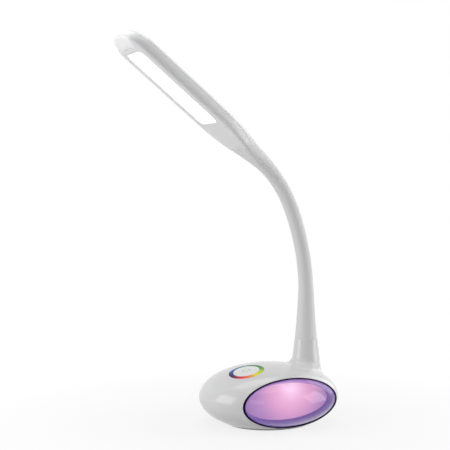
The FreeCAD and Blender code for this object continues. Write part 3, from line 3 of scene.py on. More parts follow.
import bmesh
import bpy
import numpy as np
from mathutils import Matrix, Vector


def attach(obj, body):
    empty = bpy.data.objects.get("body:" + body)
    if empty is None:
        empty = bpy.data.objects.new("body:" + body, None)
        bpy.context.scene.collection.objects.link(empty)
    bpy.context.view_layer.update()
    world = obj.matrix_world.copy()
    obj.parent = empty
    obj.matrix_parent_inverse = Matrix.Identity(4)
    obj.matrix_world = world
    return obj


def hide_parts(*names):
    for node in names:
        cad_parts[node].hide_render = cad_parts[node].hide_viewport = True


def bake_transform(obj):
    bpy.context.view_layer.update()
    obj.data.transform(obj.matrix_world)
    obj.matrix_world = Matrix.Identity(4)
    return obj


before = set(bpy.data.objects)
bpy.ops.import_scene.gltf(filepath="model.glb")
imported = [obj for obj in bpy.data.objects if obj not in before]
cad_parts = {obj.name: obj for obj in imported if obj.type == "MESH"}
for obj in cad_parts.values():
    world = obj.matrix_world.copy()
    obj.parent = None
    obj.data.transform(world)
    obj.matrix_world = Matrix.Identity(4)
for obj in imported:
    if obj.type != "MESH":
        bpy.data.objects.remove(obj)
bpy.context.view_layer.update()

# Camera: a long lens in front and to the left of the lamp, level with the lower neck,
# so that the window side of the base and the lit underside of the head both show.
camera = bpy.data.objects.new("camera", bpy.data.cameras.new("camera"))
bpy.context.scene.collection.objects.link(camera)
bpy.context.scene.camera = camera
bpy.context.scene.view_settings.view_transform = "Standard"
camera.data.sensor_width = 36
camera.data.lens = 83.0
camera.location = (-0.56492, -1.01091, 0.25666)
VIEW_DIRECTION = Vector((0.45026, 0.89235, -0.03120))
camera.rotation_euler = VIEW_DIRECTION.to_track_quat("-Z", "Y").to_euler()


# Studio: softboxes left, right and above a pale table top, hung round the lamp so that
# gloss plastic shows long clean highlights. Each is a flat lamp that faces a point.
def softbox(name, place, aim, width, height, brightness):
    """A rectangular lamp at place that faces aim; its power is brightness times pi times its area."""
    lamp = bpy.data.lights.new(name, "AREA")
    lamp.shape = "RECTANGLE"
    lamp.size = width
    lamp.size_y = height
    lamp.energy = brightness * math.pi * width * height
    holder = bpy.data.objects.new(name, lamp)
    holder.location = place
    holder.rotation_euler = (Vector(aim) - Vector(place)).to_track_quat("-Z", "Y").to_euler()
    bpy.context.scene.collection.objects.link(holder)


def beside(sideways, towards, height):
    """A place given in metres to the camera's right, towards the camera, and above the table."""
    across = Vector((0.8928, -0.4505, 0.0))
    nearer = Vector((-0.4505, -0.8928, 0.0))
    return across * sideways + nearer * towards + Vector((0.0, 0.0, height))


softbox("right_softbox", beside(1.10, 0.05, 0.42), beside(0.0, 0.0, 0.20), 0.7, 0.9, 3.4)
softbox("left_softbox", beside(-1.12, 0.38, 0.52), beside(0.0, 0.0, 0.20), 0.8, 0.9, 3.3)
softbox("top_softbox", (0.0, 0.1, 1.15), (0.0, 0.0, 0.1), 0.9, 0.9, 2.2)
softbox("front_softbox", beside(-0.35, 1.5, 0.9), beside(0.0, 0.0, 0.15), 0.7, 0.7, 2.1)
softbox("back_softbox", beside(0.85, -0.9, 0.6), beside(0.0, 0.0, 0.20), 0.7, 0.9, 1.2)


# Table: a broad matt board, lighter than the lamp's shadow on it. Seen directly it fades
# to plain white away from the lamp, and it bounces soft light up under the head.
class Value:
    """A node's output on its way through a finish; arithmetic on it adds Math nodes."""

    def __init__(self, finish, socket):
        self.finish = finish
        self.socket = socket

    def __add__(self, other):
        return self.finish.maths("ADD", self, other)

    def __mul__(self, other):
        return self.finish.maths("MULTIPLY", self, other)

    def __sub__(self, other):
        return self.finish.maths("SUBTRACT", self, other)

    def __rsub__(self, other):
        return self.finish.maths("SUBTRACT", other, self)

    def __truediv__(self, other):
        return self.finish.maths("DIVIDE", self, other)

    def __pow__(self, other):
        return self.finish.maths("POWER", self, other)

    __radd__ = __add__
    __rmul__ = __mul__


class Finish:
    """One material, whose nodes end in its principled shader."""

    def __init__(self, name, constants):
        self.material = bpy.data.materials.new(name)
        self.material.use_nodes = True
        self.material.cycles.emission_sampling = "NONE"
        self.tree = self.material.node_tree
        self.shader = self.tree.nodes["Principled BSDF"]
        self.feed(constants)

    def join(self, socket, value):
        """Links a node's output to a socket, or sets the socket to a plain value."""
        if isinstance(value, Value):
            self.tree.links.new(value.socket, socket)
        else:
            socket.default_value = value

    def feed(self, inputs):
        """Gives the shader's sockets their values or links, by name."""
        for label, value in inputs.items():
            self.join(self.shader.inputs[label], value)

    def node(self, kind, settings, inputs, output=0):
        """Adds a node: settings first, then what goes into its sockets."""
        node = self.tree.nodes.new("ShaderNode" + kind)
        for key, value in settings.items():
            if key == "stops":
                self.spread_stops(node.color_ramp, value)
            else:
                setattr(node, key, value)
        for key, value in inputs.items():
            self.join(node.inputs[key], value)
        return Value(self, node.outputs[output])

    def spread_stops(self, ramp, stops):
        """Sets a ramp's stops from (place, colour) pairs."""
        while len(ramp.elements) < len(stops):
            ramp.elements.new(0.5)
        for element, (place, colour) in zip(ramp.elements, stops):
            element.position = place
            element.color = (*colour, 1.0)

    def maths(self, operation, *values):
        """A Math node on one to three values."""
        return self.node("Math", {"operation": operation}, dict(enumerate(values)))

    def clamped(self, value):
        """Holds a value between 0 and 1."""
        return self.maths("MINIMUM", self.maths("MAXIMUM", value, 0.0), 1.0)

    def place(self):
        """Where a point lies in the lamp's own frame, in metres."""
        return self.node("TexCoord", {}, {}, "Object")

    def axes(self, vector):
        """A vector's three parts."""
        return [self.node("SeparateXYZ", {}, {"Vector": vector}, k) for k in range(3)]

    def noise(self, scale, detail=2.0):
        """A cloudy pattern from 0 to 1, of scale clouds to the metre."""
        inputs = {"Vector": self.place(), "Scale": scale, "Detail": detail}
        return self.node("TexNoise", {}, inputs, "Fac")

    def between(self, value, low, high):
        """Carries a value from 0..1 to low..high."""
        return value * (high - low) + low

    def mixed(self, share, first, second):
        """A colour between two colours."""
        ends = [(*c, 1.0) if isinstance(c, tuple) else c for c in (first, second)]
        return self.node("Mix", {"data_type": "RGBA"}, {0: share, 6: ends[0], 7: ends[1]}, 2)

    def ramp(self, value, stops):
        """A colour read along stops of (place, colour)."""
        return self.node("ValToRGB", {"stops": stops}, {"Fac": value}, "Color")

    def raised(self, height, depth):
        """Bumps the surface by a height map of depth metres."""
        bump = self.node("Bump", {}, {"Strength": 1.0, "Distance": depth, "Height": height}, "Normal")
        self.feed({"Normal": bump})

    def seen_as(self, light, share, output):
        """Rays from the camera, off gloss and through clear parts see this light, by a share of it."""
        kinds = ("Is Camera Ray", "Is Glossy Ray", "Is Transmission Ray")
        camera_ray, glossy_ray, clear_ray = [self.node("LightPath", {}, {}, kind) for kind in kinds]
        seen = self.maths("MINIMUM", camera_ray + glossy_ray + clear_ray, 1.0)
        lit = Value(self, self.shader.outputs[0])
        shown = self.node("MixShader", {}, {0: seen * share, 1: lit, 2: light})
        self.join(self.tree.nodes[output].inputs["Surface"], shown)


TABLE_HALF = 6.0
TABLE_DROP = 0.0003
NEAR_WHITE = 0.80
FADE_START, FADE_RUN = 0.05, 0.30
PLAIN_WHITE = (1.0, 1.0, 1.0, 1.0)
table_mesh = bpy.data.meshes.new("table_top")
table_turns = ((-1, -1), (1, -1), (1, 1), (-1, 1))
table_corners = [(x * TABLE_HALF, y * TABLE_HALF, -TABLE_DROP) for x, y in table_turns]
table_mesh.from_pydata(table_corners, [], [(0, 1, 2, 3)])
table_top = bpy.data.objects.new("table_top", table_mesh)
bpy.context.scene.collection.objects.link(table_top)
table_white = Finish("table_white", {"Roughness": 0.9, "Specular IOR Level": 0.1})
table_cloud = table_white.noise(3.0)
table_white.feed({"Base Color": table_white.mixed(table_cloud, (0.77, 0.77, 0.77), (0.79, 0.79, 0.79))})
spread = table_white.node("VectorMath", {"operation": "LENGTH"}, {0: table_white.place()}, "Value")
fade = table_white.clamped((spread - FADE_START) / FADE_RUN)
glow = table_white.node("Emission", {}, {"Color": PLAIN_WHITE, "Strength": 1.0}, "Emission")
table_white.seen_as(glow, NEAR_WHITE + fade * (1 - NEAR_WHITE), "Material Output")
table_mesh.materials.append(table_white.material)


# Surround: a dim even light from all sides. Seen directly, in gloss or through the clear
# dome it is plain white, so the lamp stands on a white ground.
class Surround(Finish):
    """The world, mixed from nodes as a finish is."""

    def __init__(self, name, constants):
        world = bpy.data.worlds.new(name)
        bpy.context.scene.world = world
        world.use_nodes = True
        self.tree = world.node_tree
        self.shader = self.tree.nodes["Background"]
        self.feed(constants)


surround = Surround("surround", {"Color": PLAIN_WHITE, "Strength": 0.07})
ground = surround.node("Background", {}, {"Color": PLAIN_WHITE, "Strength": 1.0}, "Background")
surround.seen_as(ground, 1.0, "World Output")

# Base body: one glossy white moulding, a flattened pebble with the stem for the neck on it.
# It is cut flat underneath and open in front for the light window, on top for the touch key
# and behind for the power inlet, and every opening has a small rolled edge.
MM = 0.001
PEBBLE = np.array([79.5, 72.5, 36.5])
MIDDLE = 29.8
PEBBLE_CENTRE = np.array([0.0, 0.0, MIDDLE])
PEBBLE_WALL = 2.4
TOUCH_PLACE = np.array([-34.7, -11.6, 62.1161])
TOUCH_UP = (TOUCH_PLACE - PEBBLE_CENTRE) / PEBBLE**2
TOUCH_UP = TOUCH_UP / np.linalg.norm(TOUCH_UP)
TOUCH_RIGHT = np.cross([0.0, 1.0, 0.0], TOUCH_UP)
TOUCH_RIGHT = TOUCH_RIGHT / np.linalg.norm(TOUCH_RIGHT)
TOUCH_AWAY = np.cross(TOUCH_UP, TOUCH_RIGHT)
STEM_X = 48.5
STEM_TOP = 91.3
STEM_ROOT = 38.8
STEM_ROOT_RADIUS = 19.3
STEM_TOP_RADIUS = 12.8
STEM_SLOPE = (STEM_ROOT_RADIUS - STEM_TOP_RADIUS) / (STEM_TOP - STEM_ROOT)
STEM_RIM = 0.5
STEM_BORE, STEM_BORE_DEPTH = 9.9, 1.5
STEM_FILLET, STEM_FILLET_SWING, STEM_FILLET_TURN = 12.0, 3.5, 0.4


def moulded(name, light, dark, gloss, texture_scale, texture_depth, extra=None):
    """Moulded plastic: a faint colour drift, uneven gloss and the skin of the mould."""
    finish = Finish(name, extra or {})
    cloud = finish.noise(18.0, 3.0)
    low, high = gloss
    finish.feed(
        {
            "Base Color": finish.mixed(cloud, dark, light),
            "Roughness": finish.between(finish.noise(90.0, 4.0), low, high),
        }
    )
    finish.raised(finish.noise(texture_scale, 2.0), texture_depth)
    return finish


def unit(vectors):
    """Vectors divided by their own lengths."""
    return vectors / np.linalg.norm(vectors, axis=-1, keepdims=True)


def woven(rows, columns, ring):
    """Quads of a grid whose points are numbered row by row; a ring's last column meets its first."""
    j, i = np.mgrid[0 : rows - 1, 0 : columns - (0 if ring else 1)]
    this, following = j * columns, (j + 1) * columns
    k = (i + 1) % columns
    return np.stack([this + i, this + k, following + k, following + i], -1).reshape(-1, 4)


def patch(points, ring=False, uv=None):
    """A grid of points as (points, triangles, uv): each quad is split along its first corner."""
    points = np.asarray(points, dtype=float)
    rows, columns = points.shape[:2]
    quads = woven(rows, columns, ring)
    triangles = np.concatenate([quads[:, [0, 1, 2]], quads[:, [0, 2, 3]]])
    flat_uv = np.zeros((rows * columns, 2)) if uv is None else np.asarray(uv, dtype=float).reshape(-1, 2)
    return points.reshape(-1, 3), triangles, flat_uv


def rings(*grids):
    """A ring patch from each grid of points."""
    return [patch(grid, ring=True) for grid in grids]


def assembled(name, patches, finish, body, crease=38.0):
    """One piece from patches in millimetres, joined where they touch, smooth below the crease angle."""
    counts = np.cumsum([0] + [len(p[0]) for p in patches])
    points = np.concatenate([p[0] for p in patches]) * MM
    triangles = np.concatenate([p[1] + start for p, start in zip(patches, counts)])
    uv = np.concatenate([p[2] for p in patches])
    sides = points[triangles]
    area = np.linalg.norm(np.cross(sides[:, 1] - sides[:, 0], sides[:, 2] - sides[:, 0]), axis=1)
    triangles = triangles[area > 1e-13]
    mesh = bpy.data.meshes.new(name)
    mesh.from_pydata(points, [], triangles.tolist())
    layer = mesh.uv_layers.new(name="surface")
    layer.data.foreach_set("uv", uv[triangles.ravel()].ravel())
    work = bmesh.new()
    work.from_mesh(mesh)
    bmesh.ops.remove_doubles(work, verts=work.verts, dist=2e-6)
    bmesh.ops.recalc_face_normals(work, faces=work.faces)
    work.to_mesh(mesh)
    work.free()
    mesh.shade_smooth()
    mesh.set_sharp_from_angle(angle=math.radians(crease))
    mesh.materials.append(finish.material)
    piece = bpy.data.objects.new(name, mesh)
    bpy.context.scene.collection.objects.link(piece)
    if body:
        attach(piece, body)
    return piece


def touch_skin(radius, angle):
    """The pebble's skin at a radius and angle round the touch key's axis: the far root of a quadratic."""
    outwards = np.cos(angle)[..., None] * TOUCH_RIGHT + np.sin(angle)[..., None] * TOUCH_AWAY
    flat = radius[..., None] * outwards
    start = (TOUCH_PLACE - PEBBLE_CENTRE + flat) / PEBBLE
    along = TOUCH_UP / PEBBLE
    a = along @ along
    b = start @ along
    c = np.sum(start**2, axis=-1) - 1.0
    rise = (-b + np.sqrt(b**2 - a * c)) / a
    return TOUCH_PLACE + flat + rise[..., None] * TOUCH_UP


def touch_rows(profile, columns):
    """Rings round the touch key from (radius, depth below the skin) pairs."""
    radius, depth = np.array(profile).T[:, :, None]
    angle = np.linspace(0, 2 * np.pi, columns, endpoint=False)[None, :]
    return touch_skin(radius + 0 * angle, angle + 0 * radius) - (depth + 0 * angle)[..., None] * TOUCH_UP


def quarter(centre, radius, first, last, steps):
    """Points of an arc in a profile, from one angle to another in degrees."""
    turn = np.radians(np.linspace(first, last, steps))
    return [(centre[0] + radius * np.cos(t), centre[1] - radius * np.sin(t)) for t in turn]


def trimmed(points, triangles, facing, level):
    """Cuts a skin by the plane facing . p = level and keeps what lies below it. Points close to the cut
    are first moved onto it, so that no sliver is left, and the new edge is put back on the pebble:
    there the cut is a circle in the space where the pebble is a ball."""
    facing = np.array(facing, dtype=float)
    tilt = facing * PEBBLE
    middle = tilt * (level - facing @ PEBBLE_CENTRE) / (tilt @ tilt)
    reach = math.sqrt(1 - middle @ middle)

    def on_cut(chosen):
        """Points moved onto the cut's circle, by way of the ball."""
        out = (chosen - PEBBLE_CENTRE) / PEBBLE - middle
        out = out - (out @ tilt)[:, None] * tilt / (tilt @ tilt)
        return PEBBLE_CENTRE + (middle + reach * unit(out)) * PEBBLE

    steep = np.linalg.norm(np.cross(unit((points - PEBBLE_CENTRE) / PEBBLE**2), facing), axis=1)
    close = np.abs(points @ facing - level) < 0.3 * steep
    points = np.array(points)
    points[close] = on_cut(points[close])
    work = bmesh.new()
    mesh = bpy.data.meshes.new("trimming")
    mesh.from_pydata(points, [], triangles.tolist())
    work.from_mesh(mesh)
    geometry = list(work.verts) + list(work.edges) + list(work.faces)
    normal = Vector(facing)
    bmesh.ops.bisect_plane(
        work, geom=geometry, plane_co=normal * level, plane_no=normal, clear_outer=True, dist=1e-4
    )
    bmesh.ops.triangulate(work, faces=work.faces)
    work.to_mesh(mesh)
    work.free()
    kept = np.empty(len(mesh.vertices) * 3)
    mesh.vertices.foreach_get("co", kept)
    kept = kept.reshape(-1, 3).astype(float)
    corners = np.empty(len(mesh.loops), dtype=int)
    mesh.loops.foreach_get("vertex_index", corners)
    bpy.data.meshes.remove(mesh)
    edge = np.abs(kept @ facing - level) < 2e-4
    kept[edge] = on_cut(kept[edge])
    return kept, corners.reshape(-1, 3)


def edge_loop(points, facing, level, right, up):
    """The points on a cut, in order of their angle round the cut's middle."""
    facing = np.array(facing, dtype=float)
    loop = points[np.abs(points @ facing - level) < 1e-4]
    middle = (loop.max(axis=0) + loop.min(axis=0)) / 2
    angle = np.arctan2((loop - middle) @ np.array(up), (loop - middle) @ np.array(right))
    return loop[np.argsort(angle)]


def rolled(loop, facing, level, final, steps=5):
    """A rolled edge: from a cut through the skin, a quadratic curve that ends flat in the plane
    facing . p = final. Its control point is where the skin's tangent meets that plane."""
    facing = np.array(facing, dtype=float)
    skin = unit((loop - PEBBLE_CENTRE) / PEBBLE**2)
    down = unit(facing - (skin @ facing)[:, None] * skin)
    run = ((final - level) / (down @ facing))[:, None]
    corner = loop + down * run
    inward = unit((skin @ facing)[:, None] * facing - skin)
    end = corner + inward * run
    share = np.linspace(0, 1, steps)[:, None, None]
    return (1 - share) ** 2 * loop + 2 * share * (1 - share) * corner + share**2 * end


HOLE_RADIUS = 19.6
HOLE_ROLL = 0.35
SKIN_COLUMNS = 320
SKIN_ROWS = 190
hole_profile = [(HOLE_RADIUS, 5.5), (HOLE_RADIUS, 2.5), (HOLE_RADIUS, 0.8)]
hole_profile += quarter((HOLE_RADIUS + HOLE_ROLL, HOLE_ROLL), HOLE_ROLL, 180, 90, 6)
hole_rows = touch_rows(hole_profile, SKIN_COLUMNS)

# The skin runs from the key's hole to a pole under the base, along great circles of the ball
# that the pebble becomes when it is divided by its own half sizes.
above_key = unit(np.array([-0.4365, -0.1600, 1.16]))
hole_edge = (hole_rows[-1] - PEBBLE_CENTRE) / PEBBLE
span = np.arccos(np.clip(hole_edge @ -above_key, -1, 1))[None, :, None]
share = np.linspace(0, 1, SKIN_ROWS)[:, None, None]
skin_ball = (np.sin((1 - share) * span) * hole_edge - np.sin(share * span) * above_key) / np.sin(span)
skin_points, skin_triangles, _ = patch(PEBBLE_CENTRE + PEBBLE * skin_ball, ring=True)

WINDOW_PLANE = 49.0
WINDOW_ROLL = 0.14
BOTTOM_HEIGHT = 2.2
BOTTOM_ROLL = 0.12
FRONT = (0.0, -1.0, 0.0)
DOWN = (0.0, 0.0, -1.0)
# Stem foot: a sloping cut round the stem that lies outside its fillet.
FOOT_SPAN = (20.5, 75.5)
foot_back, foot_end = [
    np.array([x, 0.0, MIDDLE + PEBBLE[2] * math.sqrt(1 - (x / PEBBLE[0]) ** 2)]) for x in FOOT_SPAN
]
foot_run = unit(foot_end - foot_back)
STEM_FACING = tuple(float(v) for v in (-foot_run[2], 0.0, foot_run[0]))
STEM_LEVEL = float(np.dot(STEM_FACING, foot_back))
# Inlet: a small flat spot behind, square to the skin, round the power socket.
INLET_X = 14.0
INLET_Z = 23.8
inlet_share = 1 - (INLET_X / PEBBLE[0]) ** 2 - ((INLET_Z - MIDDLE) / PEBBLE[2]) ** 2
INLET_SKIN = np.array([INLET_X, PEBBLE[1] * math.sqrt(inlet_share), INLET_Z])
inlet_facing = unit((INLET_SKIN - PEBBLE_CENTRE) / PEBBLE**2)
INLET_FACING = tuple(float(v) for v in inlet_facing)
INLET_DEPTH = 0.75
INLET_LEVEL = float(inlet_facing @ INLET_SKIN) - INLET_DEPTH
INLET_ROLL = 0.12
INLET_BORE, INLET_END = 6.5, 66.0
cuts = [
    (FRONT, WINDOW_PLANE - WINDOW_ROLL),
    (DOWN, -BOTTOM_HEIGHT - BOTTOM_ROLL),
    (STEM_FACING, STEM_LEVEL),
    (INLET_FACING, INLET_LEVEL - INLET_ROLL),
]
for facing, level in cuts:
    skin_points, skin_triangles = trimmed(skin_points, skin_triangles, facing, level)


def pebble_height(x, y):
    """How high the pebble's upper skin is over a point of the table."""
    return PEBBLE_CENTRE[2] + PEBBLE[2] * np.sqrt(1 - (x / PEBBLE[0]) ** 2 - (y / PEBBLE[1]) ** 2)


def stem_rows(loop, fillet, cone_rows, arc_rows, skin_rows):
    """The stem in upright slices through its axis, one for each point of the cut: a cone, an arc of
    the fillet's radius that touches cone and pebble, and the pebble's own section out to the cut.
    The arc's lower end is found by halving the range in which its radius grows past the fillet."""
    angle = np.arctan2(loop[:, 1], loop[:, 0] - STEM_X)
    reach = np.hypot(loop[:, 1], loop[:, 0] - STEM_X)
    side, away = np.sin(angle), np.cos(angle)

    def touching(radius):
        """The fillet's radius if it met the pebble this far out, and the corner that it rounds."""
        x, y = STEM_X + radius * away, radius * side
        z = pebble_height(x, y)
        lean = x * away / PEBBLE[0] ** 2 + y * side / PEBBLE[1] ** 2
        fall = -(PEBBLE[2] ** 2) * lean / (z - PEBBLE_CENTRE[2])
        meet = (STEM_ROOT_RADIUS + STEM_SLOPE * (STEM_ROOT - z + fall * radius)) / (1 + STEM_SLOPE * fall)
        length = (radius - meet) * np.sqrt(1 + fall**2)
        up = np.array([-STEM_SLOPE, 1.0])[:, None] / math.sqrt(1 + STEM_SLOPE**2)
        out = np.stack([1 + 0 * fall, fall]) / np.sqrt(1 + fall**2)
        half_angle = np.arccos(np.clip(np.sum(up * out, axis=0), -1, 1)) / 2
        corner = np.stack([meet, z + fall * (meet - radius)])
        return length * np.tan(half_angle), corner, up, out, length, half_angle

    low, high = np.full(len(loop), 18.0), reach.copy()
    for _ in range(40):
        middle = (low + high) / 2
        grown = touching(middle)[0] > fillet
        high = np.where(grown, middle, high)
        low = np.where(grown, low, middle)
    radius, corner, up, out, length, half_angle = touching(low)
    centre = corner + (up + out) / np.linalg.norm(up + out, axis=0) * length / np.cos(half_angle)
    top_end = corner + up * length
    low_end = corner + out * length
    first = np.arctan2(*(top_end - centre)[::-1])
    last = np.arctan2(*(low_end - centre)[::-1])
    last = np.where(last < first, last + 2 * np.pi, last)
    k = np.linspace(0, 1, cone_rows)[:, None]
    cone_height = STEM_TOP - STEM_RIM + (top_end[1] - STEM_TOP + STEM_RIM) * k
    cone = np.stack([STEM_ROOT_RADIUS + STEM_SLOPE * (STEM_ROOT - cone_height), cone_height])
    k = np.linspace(0, 1, arc_rows)[1:, None]
    turn = first + (last - first) * k
    arc = np.stack([centre[0] + radius * np.cos(turn), centre[1] + radius * np.sin(turn)])
    k = np.linspace(0, 1, skin_rows)[1:, None]
    run = low_end[0] + (reach - low_end[0]) * k
    rest = np.stack([run, pebble_height(STEM_X + run * away, run * side)])
    out_rows, heights = np.concatenate([cone, arc, rest], axis=1)
    rows = np.stack([STEM_X + out_rows * away, out_rows * side, heights], -1)
    rows[-1] = loop
    flat = STEM_TOP_RADIUS - STEM_RIM
    rim = [(STEM_BORE, STEM_TOP - STEM_BORE_DEPTH), (STEM_BORE, STEM_TOP), (flat, STEM_TOP)]
    for t in np.radians([30, 60]):
        rim.append((flat + STEM_RIM * math.sin(t), STEM_TOP - STEM_RIM + STEM_RIM * math.cos(t)))
    rim = np.array(rim)
    lid = np.stack([STEM_X + rim[:, :1] * away, rim[:, :1] * side, rim[:, 1:] + 0 * away], -1)
    return np.concatenate([lid, rows])


stem_loop = edge_loop(skin_points, STEM_FACING, STEM_LEVEL, foot_run, (0, 1, 0))
stem_turn = np.arctan2(stem_loop[:, 1], stem_loop[:, 0] - STEM_X)
stem_fillet = STEM_FILLET + STEM_FILLET_SWING * np.cos(stem_turn + STEM_FILLET_TURN)
stem_patch = patch(stem_rows(stem_loop, stem_fillet, 26, 26, 18), ring=True)

window_loop = edge_loop(skin_points, FRONT, WINDOW_PLANE - WINDOW_ROLL, (1, 0, 0), (0, 0, 1))
window_roll = rolled(window_loop, FRONT, WINDOW_PLANE - WINDOW_ROLL, WINDOW_PLANE)
RIM_SHARE = math.sqrt(1 - (WINDOW_PLANE / PEBBLE[1]) ** 2)
RIM_LENGTH = PEBBLE[0] * RIM_SHARE
RIM_HEIGHT = PEBBLE[2] * RIM_SHARE
seat_angle = np.arctan2((window_loop[:, 2] - MIDDLE) / RIM_HEIGHT, window_loop[:, 0] / RIM_LENGTH)


def oval_rows(angle, rows):
    """Ovals facing the front, one for each (half length, half height, distance to the front)."""
    length, height, distance = np.array(rows).T[:, :, None]
    angle = angle[None, :]
    return np.stack([length * np.cos(angle), -distance + 0 * angle, MIDDLE + height * np.sin(angle)], -1)


LEDGE_LENGTH, LEDGE_HEIGHT, LEDGE_DEPTH = RIM_LENGTH - 1.8, RIM_HEIGHT - 1.4, 1.2
ledge = [(LEDGE_LENGTH, LEDGE_HEIGHT, WINDOW_PLANE), (LEDGE_LENGTH, LEDGE_HEIGHT, WINDOW_PLANE - LEDGE_DEPTH)]
seat_rows = oval_rows(seat_angle, ledge)
window_edge = patch(np.concatenate([window_roll, seat_rows]), ring=True)

BOTTOM_LAND = 3.4
bottom_loop = edge_loop(skin_points, DOWN, -BOTTOM_HEIGHT - BOTTOM_ROLL, (1, 0, 0), (0, 1, 0))
bottom_roll = rolled(bottom_loop, DOWN, -BOTTOM_HEIGHT - BOTTOM_ROLL, -BOTTOM_HEIGHT)
bottom_land = bottom_roll[-1] - unit(bottom_roll[-1] * [1, 1, 0]) * BOTTOM_LAND
bottom_edge = patch(np.concatenate([bottom_roll, [bottom_land]]), ring=True)

inlet_right = unit(np.cross([0.0, 0.0, 1.0], inlet_facing))
inlet_loop = edge_loop(
    skin_points, INLET_FACING, INLET_LEVEL - INLET_ROLL, inlet_right, np.cross(inlet_facing, inlet_right)
)
inlet_roll = rolled(inlet_loop, INLET_FACING, INLET_LEVEL - INLET_ROLL, INLET_LEVEL)
inlet_turn = np.arctan2(inlet_loop[:, 2] - INLET_Z, inlet_loop[:, 0] - INLET_X)


def inlet_ring(radius, y=None):
    """A ring of the inlet's bore: on the flat spot, or at a distance y behind the base's middle."""
    x = INLET_X + radius * np.cos(inlet_turn)
    z = INLET_Z + radius * np.sin(inlet_turn)
    if y is None:
        y = (INLET_LEVEL - inlet_facing[0] * x - inlet_facing[2] * z) / inlet_facing[1]
    return np.stack([x, y + 0 * x, z], -1)


inlet_edge = patch(
    [
        *inlet_roll,
        inlet_ring(INLET_BORE + 0.25),
        inlet_ring(INLET_BORE + 0.05) - [0, 0.05, 0],
        inlet_ring(INLET_BORE) - [0, 0.25, 0],
        inlet_ring(INLET_BORE, INLET_END),
    ],
    ring=True,
)

shell_gloss = {"Specular IOR Level": 0.38}
shell_light, shell_dark = (0.755, 0.755, 0.76), (0.74, 0.74, 0.745)
shell_white = moulded("shell_white", shell_light, shell_dark, (0.05, 0.09), 220.0, 0.000004, shell_gloss)
base_body = assembled(
    "base_body",
    [
        (skin_points, skin_triangles, np.zeros((len(skin_points), 2))),
        patch(hole_rows, ring=True),
        stem_patch,
        window_edge,
        bottom_edge,
        inlet_edge,
    ],
    shell_white,
    "base",
)
wall = base_body.modifiers.new("wall", "SOLIDIFY")
wall.thickness = PEBBLE_WALL * MM
wall.offset = -1.0
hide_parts("base_shell")


# Window seal: a soft black bead round the window's rim. It is pressed into the joint between
# the white shell and the clear dome, and stands a little proud of both.
def skin_oval(inset, distance):
    """Half length and half height of the oval where a plane cuts the pebble made smaller by inset."""
    inset, distance = np.asarray(inset, dtype=float), np.asarray(distance, dtype=float)
    share = np.sqrt(1 - (distance / (PEBBLE[1] - inset)) ** 2)
    return (PEBBLE[0] - inset) * share, (PEBBLE[2] - inset) * share


def round_window(profile, columns=360):
    """Ovals round the window's middle from (inset, distance to the front) pairs."""
    inset, distance = np.array(profile).T
    angle = np.linspace(0, 2 * np.pi, columns, endpoint=False)
    return oval_rows(angle, np.stack([*skin_oval(inset, distance), distance], -1))


seal_profile = [(0.35, 49.02), (0.02, 49.10), (-0.12, 49.30), (-0.16, 49.60), (-0.08, 49.90), (0.12, 50.12)]
seal_profile += [(0.40, 50.22), (0.66, 50.16), (0.84, 49.98), (0.90, 49.70), (0.90, 49.40)]
seal_profile += [(0.90, 49.02), (0.35, 49.02)]
seal_light, seal_dark = (0.007, 0.004, 0.022), (0.004, 0.003, 0.014)
seal_matt = {"Specular IOR Level": 0.0}
seal_black = moulded("seal_black", seal_light, seal_dark, (0.40, 0.5), 400.0, 0.000006, seal_matt)
window_seal = assembled("window_seal", rings(round_window(seal_profile)), seal_black, "base")
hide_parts("window_gasket")

# Window dome: a clear polished cover that carries the pebble's curve on over the light window.
# Its flat rim stands against the light well and is held round the edge by the seal.
LENS_INSET = 0.9
LENS_WALL = 1.2


def dome_rows(inset, columns, rows):
    """The front of the pebble made smaller by inset, as rings from the front pole to the window plane."""
    sizes = PEBBLE - inset
    last = math.acos(WINDOW_PLANE / sizes[1])
    fall = np.linspace(0, last, rows)[:, None]
    angle = np.linspace(0, 2 * np.pi, columns, endpoint=False)[None, :]
    out = np.sin(fall)
    ball = np.stack([out * np.cos(angle), -np.cos(fall) + 0 * angle, out * np.sin(angle)], -1)
    return PEBBLE_CENTRE + sizes * ball


lens_outer = dome_rows(LENS_INSET, 240, 64)
lens_inner = dome_rows(LENS_INSET + LENS_WALL, 240, 64)
lens_rim = np.stack([lens_outer[-1], lens_inner[-1]])
lens_clear = Finish(
    "lens_clear",
    {"Transmission Weight": 1.0, "IOR": 1.22, "Base Color": (0.97, 0.95, 1.0, 1.0)},
)
lens_clear.feed({"Roughness": lens_clear.between(lens_clear.noise(60.0, 3.0), 0.0, 0.035)})
window_lens = assembled(
    "window_lens", rings(lens_outer, lens_rim, lens_inner), lens_clear, "base"
)
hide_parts("window_cover")

# Light well: the satin funnel between the dome and the diffuser, moulded in violet opal plastic. It has a
# painted glow, an emission brighter towards the top, standing in for the lamps' light that falls on it. Its
# front flange sits in the shell's rim.
WELL_BACK = 39.5
seat_length, seat_height = RIM_LENGTH - 1.95, RIM_HEIGHT - 1.55
well_rows = [
    (seat_length, seat_height, 47.8),
    (seat_length, seat_height, 48.95),
    (55.3, 24.3, 48.95),
    (54.8, 23.8, 48.8),
    (54.5, 23.5, 48.4),
]
well_rows += [(54.5 - 2.9 * k, 23.5 - 3.7 * k, 48.4 - 8.9 * k) for k in np.linspace(0.1, 1.0, 12)]
well_rows += [
    (55.2, 23.6, WELL_BACK),
    (55.2, 23.6, WELL_BACK + 1.2),
    (53.3, 21.7, WELL_BACK + 1.2),
    (55.3, 24.2, 47.8),
    (seat_length, seat_height, 47.8),
]
well_violet = Finish("well_violet", {"Emission Strength": 1.0})
# Painted glow: the well's emission grows from dim violet low down to bright pink-violet near the top.
well_rise = well_violet.axes(well_violet.place())[2]
painted_glow_rise = well_violet.clamped((well_rise - 0.008) / 0.044)
well_cloud = well_violet.between(well_violet.noise(25.0, 2.0), 0.0, 0.12)
